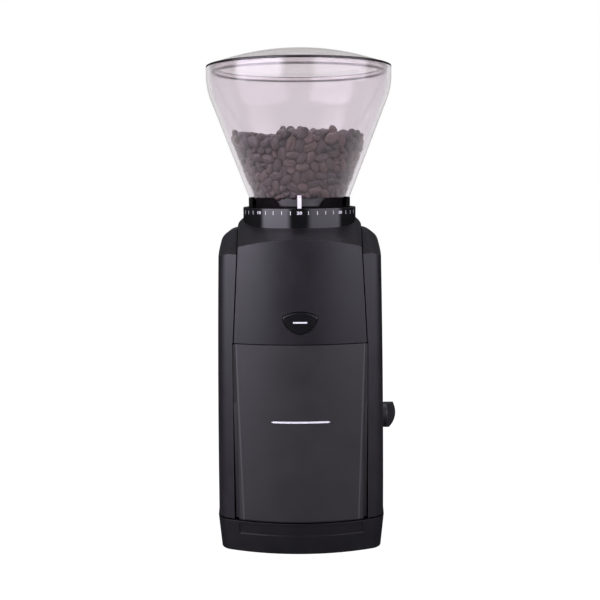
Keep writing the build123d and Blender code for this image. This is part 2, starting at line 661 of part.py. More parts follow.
def tab_sketch(side):
    """Trapezoid tab above the adjuster's band, seen from the front."""
    with BuildSketch(Plane.XZ) as tab:
        with BuildLine():
            Polyline((side * 31, BAND_TOP - 1), (side * 31, TAB_TOP), (side * 18, TAB_TOP),
                     (side * 13, BAND_TOP - 1), (side * 31, BAND_TOP - 1))
        make_face()
    return tab.sketch


with BuildPart() as tabs:
    for side in (-1, 1):
        extrude(tab_sketch(side), amount=50, both=True)
    add(ring(BAND_TOP - 1, TAB_TOP, BAND_OUTER, BAND_INNER), mode=Mode.INTERSECT)

with BuildPart() as adjuster_ring:
    add(ring(ADJUSTER_FLOOR, ADJUSTER_FLOOR_TOP, ADJUSTER_OUTER, ADJUSTER_INNER))
    add(ring(ADJUSTER_FLOOR, ADJUSTER_WALL_TOP, ADJUSTER_OUTER, NECK_RADIUS + 0.4))
    add(ring(ADJUSTER_FLOOR, BAND_TOP, BAND_OUTER, BAND_INNER))
    add(tabs.part)
    with PolarLocations((CHAMBER_INNER + ADJUSTER_OUTER) / 2 + 0.2, 3):
        with Locations((0, 0, RAMP_BOTTOM)):
            Box(4, 12, ADJUSTER_FLOOR - RAMP_BOTTOM, align=STANDING)
save(adjuster_ring, "adjuster_ring")

with BuildPart() as throat_liner:
    add(ring(THROAT_BOTTOM, TAB_TOP, BAND_INNER, THROAT_INNER))
    fillet(throat_liner.edges().group_by(Axis.Z)[-1], 0.4)
save(throat_liner, "throat_liner")

with BuildPart() as burr_carrier:
    add(ring(CARRIER_BOTTOM, CARRIER_TOP, CARRIER_OUTER, RING_RADIUS))
    add(ring(FLANGE_BOTTOM, FLANGE_TOP, FLANGE_RADIUS, RING_RADIUS))
    add(ring(RING_TOP, CARRIER_TOP, CARRIER_OUTER, RING_RADIUS - 1.5))
save(burr_carrier, "burr_carrier")

coil = Helix(pitch=1.9, height=FLANGE_BOTTOM - CHAMBER_TOP - 2 * SPRING_WIRE, radius=SPRING_RADIUS)
with BuildPart() as spring:
    with BuildSketch(Plane(coil @ 0, z_dir=coil % 0)):
        Circle(SPRING_WIRE)
    sweep(path=coil, is_frenet=True)

with BuildPart() as carrier_springs:
    for number in range(SPRING_COUNT):
        turn = radians(60 + 360 * number / SPRING_COUNT)
        place = (SPRING_RING * cos(turn), SPRING_RING * sin(turn), CHAMBER_TOP + SPRING_WIRE)
        add(spring.part.moved(Location(place)))
save(carrier_springs, "carrier_springs")

# ---------------------------------------------------------------- burrs and their shaft

RING_PROFILE = [(20.2, RING_BOTTOM), (17.9, 211), (23.0, RING_TOP)]
CONE_PROFILE = [(19.5, CONE_BOTTOM), (19.4, 204.6), (16.9, 211), (8.6, CONE_BURR_TOP)]

with BuildPart() as ring_burr:
    with BuildSketch(Plane.XZ):
        with BuildLine():
            Polyline((RING_RADIUS, RING_BOTTOM), *RING_PROFILE, (RING_RADIUS, RING_TOP),
                     (RING_RADIUS, RING_BOTTOM))
        make_face()
    revolve(axis=Axis.Z)
    with PolarLocations(19.0, 12):
        with Locations(Location((0, 0, 216), (0, 25, 35))):
            Box(3, 2.6, 9, mode=Mode.SUBTRACT)
    with PolarLocations(19.1, 36, start_angle=4):
        with Locations(Location((0, 0, 207), (0, -18, 20))):
            Box(1.4, 1.2, 9, mode=Mode.SUBTRACT)
save(ring_burr, "ring_burr")

with BuildPart() as cone_burr:
    with BuildSketch(Plane.XZ):
        with BuildLine():
            Polyline((SHAFT_RADIUS, CONE_BOTTOM), *CONE_PROFILE, (SHAFT_RADIUS, CONE_BURR_TOP),
                     (SHAFT_RADIUS, CONE_BOTTOM))
        make_face()
    revolve(axis=Axis.Z)
    with PolarLocations(15.0, 6):
        with Locations(Location((0, 0, 219), (0, -31, 40))):
            Box(5, 5, 16, mode=Mode.SUBTRACT)
    with PolarLocations(18.8, 36):
        with Locations(Location((0, 0, 207), (0, -20, 15))):
            Box(1.2, 1.2, 10, mode=Mode.SUBTRACT)
save(cone_burr, "cone_burr")

with BuildPart() as burr_gasket:
    add(ring(CARRIER_TOP, CARRIER_TOP + 1.6, 29.5, 24.2))
    add(ring(CARRIER_TOP, CARRIER_TOP + 4.5, 26.0, 24.2))
save(burr_gasket, "burr_gasket")

with BuildPart() as main_shaft:
    with BuildSketch(Plane.XY.offset(GEARBOX_FLOOR + 0.5)):
        Circle(SHAFT_RADIUS)
    extrude(amount=CONE_BURR_TOP - GEARBOX_FLOOR - 0.5)
    with BuildSketch(Plane.XY.offset(CONE_BURR_TOP)):
        Circle(THREAD_RADIUS)
    extrude(amount=8)
    chamfer(main_shaft.edges().group_by(Axis.Z)[-1], 0.6)
save(main_shaft, "main_shaft")

with BuildPart() as burr_washer:
    add(ring(CONE_BURR_TOP, CONE_BURR_TOP + 1.2, 7.5, THREAD_RADIUS))
save(burr_washer, "burr_washer")

with BuildPart() as burr_nut:
    with BuildSketch(Plane.XY.offset(CONE_BURR_TOP + 1.2)):
        RegularPolygon(5.8, 6)
        Circle(THREAD_RADIUS, mode=Mode.SUBTRACT)
    extrude(amount=4.8)
save(burr_nut, "burr_nut")

with BuildPart() as paddle_wheel:
    add(ring(PADDLE_BOTTOM, PADDLE_TOP, PADDLE_RADIUS, SHAFT_RADIUS))
    add(ring(PADDLE_TOP, CONE_BOTTOM, 8, SHAFT_RADIUS))
    with PolarLocations(18.3, 6):
        with Locations((0, 0, PADDLE_TOP)):
            Box(22, 2.2, 4.5, align=STANDING)
save(paddle_wheel, "paddle_wheel")

with BuildPart() as felt_washer:
    add(ring(CHAMBER_BOTTOM, CHAMBER_FLOOR, 9, SHAFT_RADIUS + RUNNING))
save(felt_washer, "felt_washer")

# ---------------------------------------------------------------- grind chamber and chute

with BuildPart() as grind_chamber:
    add(ring(CHAMBER_BOTTOM, CHAMBER_TOP, CHAMBER_OUTER, 9))
    with BuildSketch(Plane.XY.offset(CHAMBER_FLOOR)):
        Circle(CHAMBER_INNER)
    extrude(amount=30, mode=Mode.SUBTRACT)
    add(ring(CHAMBER_TOP - 3, CHAMBER_TOP, SCALE_OUTER, CHAMBER_INNER))
    with Locations((0, CHUTE_BACK, CHAMBER_FLOOR)):
        Box(2 * OUTLET_HALF, 14, OUTLET_HEIGHT, align=STANDING, mode=Mode.SUBTRACT)
    with Locations((0, CHUTE_BACK - 2, CHAMBER_TOP - 3)):
        Box(60, 4, 3, align=STANDING, mode=Mode.SUBTRACT)
save(grind_chamber, "grind_chamber")

with BuildPart() as grounds_chute:
    middle = (CHUTE_FRONT + CHUTE_BACK) / 2
    depth = CHUTE_BACK - CHUTE_FRONT
    roof = CHAMBER_FLOOR + OUTLET_HEIGHT
    with BuildSketch(Plane.XY.offset(CHUTE_BOTTOM)):
        with Locations((0, middle)):
            Rectangle(2 * (OUTLET_HALF + CHUTE_WALL) - 0.2, depth)
            Rectangle(2 * OUTLET_HALF, depth - 2 * CHUTE_WALL, mode=Mode.SUBTRACT)
    extrude(amount=roof - CHUTE_BOTTOM)
    with Locations((0, middle, roof)):
        Box(2 * (OUTLET_HALF + CHUTE_WALL) - 0.2, depth, CHUTE_WALL, align=STANDING)
    with Locations((0, CHUTE_BACK, CHAMBER_FLOOR)):
        Box(2 * OUTLET_HALF, 4, OUTLET_HEIGHT, align=STANDING, mode=Mode.SUBTRACT)
save(grounds_chute, "grounds_chute")

# ---------------------------------------------------------------- gearbox

GEARBOX_SCREWS = [(-19.5, -22.5), (19.5, -22.5), (-18, 67), (18, 67)]


def gearbox_outline(z, inset):
    """Plan outline of the gearbox: round at both ends, with straight tangent sides."""
    with BuildSketch(Plane.XY.offset(z)) as outline:
        with BuildLine(mode=Mode.PRIVATE) as ends:
            CenterArc((0, 0), GEARBOX_FRONT_RADIUS - inset, 0, 360)
            CenterArc((0, MOTOR_Y), GEARBOX_REAR_RADIUS - inset, 0, 360)
        make_hull(ends.edges())
    return outline.sketch


with BuildPart() as gearbox_housing:
    extrude(gearbox_outline(GEARBOX_BOTTOM, 0), amount=GEARBOX_TOP - GEARBOX_BOTTOM)
    extrude(gearbox_outline(GEARBOX_FLOOR, GEARBOX_WALL), amount=40, mode=Mode.SUBTRACT)
    with BuildSketch(Plane.XY.offset(GEARBOX_FLOOR)):
        with Locations(*GEARBOX_SCREWS):
            Circle(GEARBOX_SCREW_BOSS)
    extrude(amount=GEARBOX_TOP - GEARBOX_FLOOR)
    add(ring(GEARBOX_FLOOR, BEARING_TOP, BEARING_RADIUS + 2, BEARING_RADIUS))
    with BuildSketch(Plane.XY.offset(GEARBOX_FLOOR)):
        with Locations((0, IDLER_Y)):
            Circle(5)
    extrude(amount=SMALL_GEAR_BOTTOM - 0.3 - GEARBOX_FLOOR)
    with BuildSketch(Plane.XY.offset(GEARBOX_BOTTOM)):
        with Locations((0, IDLER_Y)):
            Circle(IDLER_PIN)
        with Locations((0, MOTOR_Y)):
            Circle(MOTOR_BEARING)
    extrude(amount=BIG, mode=Mode.SUBTRACT)
    with BuildSketch(Plane.XY.offset(GEARBOX_TOP - 14)):
        with Locations(*GEARBOX_SCREWS):
            Circle(GEARBOX_SCREW)
    extrude(amount=BIG, mode=Mode.SUBTRACT)
save(gearbox_housing, "gearbox_housing")

with BuildPart() as gearbox_cover:
    extrude(gearbox_outline(GEARBOX_TOP, 0), amount=CHAMBER_BOTTOM - GEARBOX_TOP)
    add(ring(UPPER_BEARING_BOTTOM, GEARBOX_TOP, BEARING_RADIUS + 2, BEARING_RADIUS))
    with BuildSketch(Plane.XY.offset(UPPER_BEARING_BOTTOM)):
        Circle(BEARING_RADIUS)
    extrude(amount=BIG, mode=Mode.SUBTRACT)
    with BuildSketch(Plane.XY.offset(GEARBOX_TOP)):
        with Locations((0, IDLER_Y)):
            Circle(IDLER_PIN)
        with Locations(*GEARBOX_SCREWS):
            Circle(GEARBOX_SCREW + 0.2)
    extrude(amount=BIG, mode=Mode.SUBTRACT)
    with BuildSketch(Plane.XY.offset(GEARBOX_TOP + 1)):
        with Locations(*GEARBOX_SCREWS):
            Circle(GEARBOX_SCREW_HEAD + 0.2)
    extrude(amount=BIG, mode=Mode.SUBTRACT)
save(gearbox_cover, "gearbox_cover")

with BuildPart() as gearbox_screws:
    with BuildSketch(Plane.XY.offset(GEARBOX_TOP - 12)):
        with Locations(*GEARBOX_SCREWS):
            Circle(GEARBOX_SCREW)
    extrude(amount=13)
    with BuildSketch(Plane.XY.offset(GEARBOX_TOP + 1)):
        with Locations(*GEARBOX_SCREWS):
            Circle(GEARBOX_SCREW_HEAD)
    extrude(amount=1.8)
save(gearbox_screws, "gearbox_screws")

with BuildPart() as shaft_bearings:
    add(ring(GEARBOX_FLOOR, BEARING_TOP, BEARING_RADIUS, SHAFT_RADIUS + RUNNING))
    add(ring(UPPER_BEARING_BOTTOM, CHAMBER_BOTTOM, BEARING_RADIUS, SHAFT_RADIUS + RUNNING))
save(shaft_bearings, "shaft_bearings")

with BuildPart() as drive_gear:
    extrude(gear_sketch(DRIVE_BOTTOM, (0, 0), DRIVE_TEETH, STAGE2_MODULE, DRIVE_ADDENDUM, 90), amount=7)
    with BuildSketch(Plane.XY.offset(DRIVE_BOTTOM)):
        with PolarLocations(15.5, 6):
            Circle(4)
    extrude(amount=BIG, mode=Mode.SUBTRACT)
    add(ring(DRIVE_HUB_BOTTOM, DRIVE_HUB_TOP, DRIVE_HUB_RADIUS, SHAFT_RADIUS))
    with BuildSketch(Plane.XY.offset(DRIVE_BOTTOM)):
        Circle(SHAFT_RADIUS)
    extrude(amount=BIG, mode=Mode.SUBTRACT)
save(drive_gear, "drive_gear")

with BuildPart() as intermediate_gear:
    small_first = -90 + 180 / SMALL_TEETH
    centre = (0, IDLER_Y)
    small = gear_sketch(SMALL_GEAR_BOTTOM, centre, SMALL_TEETH, STAGE2_MODULE, PINION_ADDENDUM, small_first)
    extrude(small, amount=BIG_GEAR_BOTTOM - SMALL_GEAR_BOTTOM)
    extrude(gear_sketch(BIG_GEAR_BOTTOM, centre, BIG_TEETH, STAGE1_MODULE, BIG_ADDENDUM, 90), amount=4.5)
    with BuildSketch(Plane.XY.offset(SMALL_GEAR_BOTTOM)):
        with Locations((0, IDLER_Y)):
            Circle(IDLER_PIN + RUNNING)
    extrude(amount=BIG, mode=Mode.SUBTRACT)
save(intermediate_gear, "intermediate_gear")

with BuildPart() as intermediate_pin:
    with BuildSketch(Plane.XY.offset(GEARBOX_BOTTOM)):
        with Locations((0, IDLER_Y)):
            Circle(IDLER_PIN)
    extrude(amount=CHAMBER_BOTTOM - GEARBOX_BOTTOM)
save(intermediate_pin, "intermediate_pin")

# ---------------------------------------------------------------- motor

AT_MOTOR = (0, MOTOR_Y)

with BuildPart() as motor_pinion:
    pinion_first = -90 + 180 / PINION_TEETH
    pinion = gear_sketch(PINION_BOTTOM, AT_MOTOR, PINION_TEETH, STAGE1_MODULE, PINION_ADDENDUM, pinion_first)
    extrude(pinion, amount=5)
    with BuildSketch(Plane.XY.offset(PINION_BOTTOM)):
        with Locations(AT_MOTOR):
            Circle(MOTOR_SHAFT)
    extrude(amount=BIG, mode=Mode.SUBTRACT)
save(motor_pinion, "motor_pinion")

with BuildPart() as motor_shaft:
    with BuildSketch(Plane.XY.offset(MOTOR_SHAFT_BOTTOM)):
        with Locations(AT_MOTOR):
            Circle(MOTOR_SHAFT)
    extrude(amount=MOTOR_SHAFT_TOP - MOTOR_SHAFT_BOTTOM)
save(motor_shaft, "motor_shaft")

with BuildPart() as armature:
    with BuildSketch(Plane.XY.offset(ARMATURE_BOTTOM)):
        with Locations(AT_MOTOR):
            Circle(ARMATURE_RADIUS)
            Circle(MOTOR_SHAFT, mode=Mode.SUBTRACT)
            with PolarLocations(ARMATURE_RADIUS - 4, 10):
                Rectangle(11, 3.4, mode=Mode.SUBTRACT)
    extrude(amount=ARMATURE_TOP - ARMATURE_BOTTOM)
save(armature, "armature")

with BuildPart() as commutator:
    add(ring(COMMUTATOR_BOTTOM, COMMUTATOR_TOP, COMMUTATOR_RADIUS, MOTOR_SHAFT, AT_MOTOR))
save(commutator, "commutator")

with BuildPart() as motor_can:
    add(ring(CAN_BOTTOM, CAN_TOP, CAN_RADIUS, CAN_RADIUS - CAN_WALL, AT_MOTOR))
    add(ring(CAN_TOP - 2, CAN_TOP, CAN_RADIUS - 1, MOTOR_BEARING, AT_MOTOR))
    add(ring(CAN_TOP - 8, CAN_TOP, MOTOR_BEARING + 2, MOTOR_BEARING, AT_MOTOR))
save(motor_can, "motor_can")

with BuildPart() as motor_end_bell:
    add(ring(BELL_BOTTOM, CAN_BOTTOM, CAN_RADIUS, 20, AT_MOTOR))
    add(ring(BELL_BOTTOM, BELL_BOTTOM + 3, 21, MOTOR_BEARING, AT_MOTOR))
    add(ring(BELL_BOTTOM, CAN_BOTTOM, MOTOR_BEARING + 2, MOTOR_BEARING, AT_MOTOR))
save(motor_end_bell, "motor_end_bell")

with BuildPart() as motor_bearings:
    for bottom, top in ((CAN_TOP - 8, CAN_TOP), (BELL_BOTTOM, CAN_BOTTOM)):
        add(ring(bottom, top, MOTOR_BEARING, MOTOR_SHAFT + RUNNING, AT_MOTOR))
save(motor_bearings, "motor_bearings")

with BuildPart() as motor_magnets:
    with BuildSketch(Plane.XY.offset(MAGNET_BOTTOM)):
        with Locations(AT_MOTOR):
            Circle(CAN_RADIUS - CAN_WALL)
            Circle(ARMATURE_RADIUS + 1, mode=Mode.SUBTRACT)
            Rectangle(12, 60, mode=Mode.SUBTRACT)
    extrude(amount=MAGNET_TOP - MAGNET_BOTTOM)
save(motor_magnets, "motor_magnets")

with BuildPart() as motor_brushes:
    middle = (COMMUTATOR_BOTTOM + COMMUTATOR_TOP) / 2
    with Locations((BRUSH_X, MOTOR_Y, middle), (-BRUSH_X, MOTOR_Y, middle)):
        Box(8, 4, 4)
save(motor_brushes, "motor_brushes")

with BuildPart() as thermal_cutout:
    with Locations((-CAN_RADIUS - 2.4, MOTOR_Y, 120)):
        Box(4, 8, 14)
save(thermal_cutout, "thermal_cutout")

# ---------------------------------------------------------------- controls

button_blank = shield_sketch(Plane.XZ.offset(50), 0)
flange_blank = shield_sketch(Plane.XZ.offset(50), BUTTON_FLANGE)

with BuildPart() as button_flange:
    extrude(flange_blank, amount=40)
    add(column_form(WALL + 0.4), mode=Mode.INTERSECT)
    add(column_form(WALL + 2.0), mode=Mode.SUBTRACT)

with BuildPart() as pulse_button:
    extrude(button_blank, amount=40)
    add(column_form(-BUTTON_PROUD), mode=Mode.INTERSECT)
    add(column_form(BUTTON_DEPTH), mode=Mode.SUBTRACT)
    fillet(pulse_button.faces().sort_by(Axis.Y)[0].outer_wire().edges(), 0.7)
    add(button_flange.part)
save(pulse_button, "pulse_button")

with BuildPart() as switch_plunger:
    with BuildSketch(Plane.XZ.offset(PLUNGER_BACK)):
        with Locations((0, BUTTON_Z)):
            Circle(PLUNGER_RADIUS)
    extrude(amount=PLUNGER_LENGTH)
save(switch_plunger, "switch_plunger")

with BuildPart() as pulse_switch:
    with Locations((0, -SWITCH_BACK, BUTTON_Z)):
        Box(*PULSE_SWITCH, align=(Align.CENTER, Align.MAX, Align.CENTER))
    with BuildSketch(Plane.XZ.offset(SWITCH_BACK + 1)):
        with Locations((0, BUTTON_Z)):
            Circle(PLUNGER_RADIUS + RUNNING)
    extrude(amount=10, mode=Mode.SUBTRACT)
save(pulse_switch, "pulse_switch")

with BuildPart() as power_knob:
    with BuildSketch(Plane.YZ.offset(KNOB_INNER)):
        with Locations((KNOB_Y, KNOB_Z)):
            Circle(KNOB_RADIUS)
    extrude(amount=KNOB_FACE - KNOB_INNER)
    fillet(power_knob.edges().group_by(Axis.X)[-1], 1.0)
    low, high = KNOB_Z - KNOB_RADIUS + 0.4, KNOB_Z + KNOB_RADIUS - 0.4
    with BuildSketch(Plane.XZ.offset(-KNOB_Y)):
        with BuildLine():
            ThreePointArc((GRIP_LOW, low), (GRIP_MIDDLE, KNOB_Z + 2.5), (GRIP_HIGH, high))
            Polyline((GRIP_HIGH, high), (KNOB_FACE - 2, high), (KNOB_FACE - 2, low), (GRIP_LOW, low))
        make_face()
    extrude(amount=3.2, both=True)
    with BuildSketch(Plane.YZ.offset(KNOB_INNER)):
        with Locations((KNOB_Y, KNOB_Z)):
            Circle(SWITCH_SHAFT)
    extrude(amount=5, mode=Mode.SUBTRACT)
save(power_knob, "power_knob")

with BuildPart() as switch_shaft:
    with BuildSketch(Plane.YZ.offset(ROTARY_SWITCH_X)):
        with Locations((KNOB_Y, KNOB_Z)):
            Circle(SWITCH_SHAFT)
    extrude(amount=KNOB_INNER + 5 - ROTARY_SWITCH_X)
save(switch_shaft, "switch_shaft")

with BuildPart() as rotary_switch:
    with Locations((ROTARY_SWITCH_X, KNOB_Y, KNOB_Z)):
        Box(*ROTARY_SWITCH)
    with BuildSketch(Plane.YZ.offset(ROTARY_SWITCH_X)):
        with Locations((KNOB_Y, KNOB_Z)):
            Circle(SWITCH_SHAFT + RUNNING)
    extrude(amount=20, mode=Mode.SUBTRACT)
save(rotary_switch, "rotary_switch")

# ---------------------------------------------------------------- electrics

with BuildPart() as circuit_board:
    with BuildSketch(Plane.XY.offset(BOARD_BOTTOM)):
        with Locations(BOARD_CENTRE):
            Rectangle(*BOARD_SIZE)
    extrude(amount=BOARD_TOP - BOARD_BOTTOM)
save(circuit_board, "circuit_board")

with BuildPart() as capacitor:
    with BuildSketch(Plane.XY.offset(BOARD_TOP)):
        with Locations(CAPACITOR_CENTRE):
            Circle(CAPACITOR_RADIUS)
    extrude(amount=CAPACITOR_HEIGHT)
    fillet(capacitor.edges().group_by(Axis.Z)[-1], 1.0)
save(capacitor, "capacitor")

with BuildPart() as heat_sink:
    with BuildSketch(Plane.XY.offset(BOARD_TOP)):
        with Locations(SINK_CENTRE):
            Rectangle(SINK_WIDTH, 3)
            with GridLocations(5, 0, 6, 1):
                Rectangle(FIN, SINK_DEPTH)
    extrude(amount=SINK_HEIGHT)
save(heat_sink, "heat_sink")

with BuildPart() as terminal_block:
    with Locations((*TERMINAL_CENTRE, BOARD_TOP)):
        Box(*TERMINAL_SIZE, align=STANDING)
    with BuildSketch(Plane.XY.offset(BOARD_TOP + 4)):
        with Locations(TERMINAL_CENTRE):
            with GridLocations(TERMINAL_PITCH, 0, 3, 1):
                Circle(1.8)
    extrude(amount=10, mode=Mode.SUBTRACT)
save(terminal_block, "terminal_block")

with BuildPart() as base_screws:
    with BuildSketch(Plane.XY.offset(PLATE_BOTTOM)):
        with Locations(*BOSS_POINTS):
            Circle(BASE_SCREW_RADIUS)
    extrude(amount=PLATE_TOP - PLATE_BOTTOM + BASE_SCREW_DEPTH)
    with BuildSketch(Plane.XY.offset(PLATE_BOTTOM)):
        with Locations(*BOSS_POINTS):
            Circle(BASE_SCREW_HEAD)
    extrude(amount=-1.0)
save(base_screws, "base_screws")
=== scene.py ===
import math
import bpy
import numpy as np
from mathutils import Matrix, Vector, kdtree


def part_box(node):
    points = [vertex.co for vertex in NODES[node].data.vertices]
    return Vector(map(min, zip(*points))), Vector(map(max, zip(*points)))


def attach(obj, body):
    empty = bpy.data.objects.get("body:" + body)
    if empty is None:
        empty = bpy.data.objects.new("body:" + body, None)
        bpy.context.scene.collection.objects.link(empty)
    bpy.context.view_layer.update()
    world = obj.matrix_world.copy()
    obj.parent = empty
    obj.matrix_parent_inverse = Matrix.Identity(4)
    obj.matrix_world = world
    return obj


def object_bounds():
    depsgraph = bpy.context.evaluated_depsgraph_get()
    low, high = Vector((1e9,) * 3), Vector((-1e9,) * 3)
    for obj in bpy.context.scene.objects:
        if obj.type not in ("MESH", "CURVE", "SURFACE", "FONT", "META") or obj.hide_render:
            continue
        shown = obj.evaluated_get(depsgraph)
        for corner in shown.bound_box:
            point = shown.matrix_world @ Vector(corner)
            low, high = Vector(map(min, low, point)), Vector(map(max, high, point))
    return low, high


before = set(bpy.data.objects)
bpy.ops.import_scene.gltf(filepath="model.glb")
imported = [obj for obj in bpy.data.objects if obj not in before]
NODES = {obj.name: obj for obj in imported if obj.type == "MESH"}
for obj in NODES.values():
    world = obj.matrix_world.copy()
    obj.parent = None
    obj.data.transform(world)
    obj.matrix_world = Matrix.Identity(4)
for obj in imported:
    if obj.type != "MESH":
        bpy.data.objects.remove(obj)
cad_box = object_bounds()
MM = 0.001

scene = bpy.context.scene
scene.view_settings.view_transform = "Standard"


# ---------------------------------------------------------------- shader helpers

class Shader:
    """A node tree being built for one material."""

    def __init__(self, name):
        self.material = bpy.data.materials.new(name)
        self.material.use_nodes = True
        self.tree = self.material.node_tree
        self.tree.nodes.clear()
        self.out = self.node("ShaderNodeOutputMaterial")
        self.place = self.node("ShaderNodeTexCoord").outputs["Object"]

    def node(self, kind, **values):
        made = self.tree.nodes.new(kind)
        for key, value in values.items():
            setattr(made, key, value)
        return made

    def link(self, start, end):
        self.tree.links.new(start, end)

    def axes(self):
        """The object's own coordinates, one by one."""
        made = self.node("ShaderNodeSeparateXYZ")
        self.link(self.place, made.inputs["Vector"])
        return made.outputs

    def noise(self, scale, detail=3.0, roughness=0.55, stretch=None):
        """Noise over the object's own coordinates; stretch scales them per axis first."""
        made = self.node("ShaderNodeTexNoise")
        made.inputs["Scale"].default_value = scale
        made.inputs["Detail"].default_value = detail
        made.inputs["Roughness"].default_value = roughness
        place = self.place
        if stretch:
            mapping = self.node("ShaderNodeMapping")
            mapping.inputs["Scale"].default_value = stretch
            self.link(self.place, mapping.inputs["Vector"])
            place = mapping.outputs["Vector"]
        self.link(place, made.inputs["Vector"])
        return made.outputs["Fac"]

    def ramp(self, source, stops):
        """Colour ramp over source; stops are (position, colour) with colours of 3 numbers."""
        made = self.node("ShaderNodeValToRGB")
        elements = made.color_ramp.elements
        while len(elements) < len(stops):
            elements.new(1.0)
        for element, (position, colour) in zip(elements, stops):
            element.position = position
            element.color = (*colour, 1)
        self.link(source, made.inputs["Fac"])
        return made.outputs["Color"]

    def spread(self, source, low, high):
        """source, which runs over 0.3 to 0.7, turned into low to high."""
        made = self.node("ShaderNodeMapRange")
        made.inputs["From Min"].default_value = 0.3
        made.inputs["From Max"].default_value = 0.7
        made.inputs["To Min"].default_value = low
        made.inputs["To Max"].default_value = high
        self.link(source, made.inputs["Value"])
        return made.outputs["Result"]

    def bump(self, source, distance, strength=1.0, below=None):
        made = self.node("ShaderNodeBump")
        made.inputs["Strength"].default_value = strength
        made.inputs["Distance"].default_value = distance
        self.link(source, made.inputs["Height"])
        if below:
            self.link(below, made.inputs["Normal"])
        return made.outputs["Normal"]

    def math(self, operation, first, second=None):
        """One of the maths operations on a value and a second value or number."""
        made = self.node("ShaderNodeMath", operation=operation)
        self.link(first, made.inputs[0])
        if isinstance(second, float):
            made.inputs[1].default_value = second
        elif second is not None:
            self.link(second, made.inputs[1])
        return made.outputs[0]

    def soft_edges(self, radius):
        made = self.node("ShaderNodeBevel", samples=6)
        made.inputs["Radius"].default_value = radius
        return made.outputs["Normal"]

    def principled(self, **values):
        made = self.node("ShaderNodeBsdfPrincipled")
        for key, value in values.items():
            made.inputs[key.replace("_", " ")].default_value = value
        self.link(made.outputs["BSDF"], self.out.inputs["Surface"])
        return made


def tone(colour, factor):
    return tuple(min(1.0, channel * factor) for channel in colour)


CLOUDING = 0.12  # how far the tone of moulded plastic strays


def moulded(name, colour, roughness=0.4, grain=900.0, depth=0.03, edge=0.3, coat=0.0, shine=0.5):
    """Moulded plastic: a fine spark-eroded grain, faint clouding and soft edges. The grain's depth and the
    edge's radius are in millimetres."""
    shader = Shader(name)
    body = shader.principled(Metallic=0.0, Coat_Weight=coat, Coat_Roughness=0.12, Specular_IOR_Level=shine)
    clouds = shader.noise(22.0, 4.0)
    shader.link(shader.ramp(clouds, [(0.3, tone(colour, 1 - CLOUDING)), (0.7, tone(colour, 1 + CLOUDING))]),
                body.inputs["Base Color"])
    fine = shader.noise(grain, 2.0, 0.7)
    shader.link(shader.spread(shader.noise(60.0, 5.0), roughness - 0.04, roughness + 0.05),
                body.inputs["Roughness"])
    below = shader.soft_edges(edge * MM) if edge else None
    shader.link(shader.bump(fine, depth * MM, 0.6, below), body.inputs["Normal"])
    return shader.material


PAINTED_WALL_LINE = 38.85 * MM  # half-width of the painted highlight line that stands in for the bin's side walls seen through its front, at the floor
WALL_LEAN = 0.034  # how much further out they are for each unit of height
LINE_CORE, LINE_EDGE, HIGHLIGHT_STRENGTH = 0.15 * MM, 0.75 * MM, 0.55
FRONT_ONLY = -55 * MM  # the painted highlight lines show only forward of this


def smoked(name, colour, highlight_colour):
    """Dark smoked plastic; near each edge a thin paler line is painted into the colour, a painted highlight
    standing in for the side walls seen through the front.
    """
    shader = Shader(name)
    body = shader.principled(Metallic=0.0)
    clouds = shader.noise(22.0, 4.0)
    tones = shader.ramp(clouds, [(0.3, tone(colour, 0.9)), (0.7, tone(colour, 1.1))])
    place = shader.axes()
    half = shader.math("ABSOLUTE", place["X"])
    lean = shader.math("MULTIPLY", place["Z"], WALL_LEAN)
    across = shader.math("SUBTRACT", half, lean)
    off = shader.math("ABSOLUTE", shader.math("SUBTRACT", across, PAINTED_WALL_LINE))
    # Painted highlight: the colour is lifted to a paler line where the side walls would show through.
    line = shader.node("ShaderNodeMapRange", interpolation_type="SMOOTHSTEP")
    line.inputs["From Min"].default_value = LINE_EDGE
    line.inputs["From Max"].default_value = LINE_CORE
    line.inputs["To Max"].default_value = HIGHLIGHT_STRENGTH
    shader.link(off, line.inputs["Value"])
    front = shader.math("LESS_THAN", place["Y"], FRONT_ONLY)
    mix = shader.node("ShaderNodeMix", data_type="RGBA")
    shader.link(shader.math("MULTIPLY", line.outputs["Result"], front), mix.inputs["Factor"])
    shader.link(tones, mix.inputs["A"])
    mix.inputs["B"].default_value = (*highlight_colour, 1)
    shader.link(mix.outputs["Result"], body.inputs["Base Color"])
    shader.link(shader.spread(shader.noise(60.0, 5.0), 0.38, 0.47), body.inputs["Roughness"])
    shader.link(shader.bump(shader.noise(500.0, 2.0, 0.7), 0.01 * MM, 0.6), body.inputs["Normal"])
    return shader.material


def metal(name, colour, roughness=0.3, stretch=(1, 1, 40), edge=0.15, lines=600.0):
    """Machined or plated metal with fine marks, packed along the axes that stretch scales up. The edge's
    radius is in millimetres."""
    shader = Shader(name)
    body = shader.principled(Metallic=1.0)
    marks = shader.noise(lines, 3.0, 0.6, stretch)
    shader.link(shader.ramp(marks, [(0.3, tone(colour, 0.85)), (0.7, tone(colour, 1.1))]),
                body.inputs["Base Color"])
    shader.link(shader.spread(shader.noise(90.0, 4.0), roughness - 0.06, roughness + 0.1),
                body.inputs["Roughness"])
    shader.link(shader.bump(marks, 0.01 * MM, 0.5, shader.soft_edges(edge * MM)), body.inputs["Normal"])
    return shader.material


CLEAR_IOR = 1.46
NECK_TINT = (0.93, 0.91, 0.92)


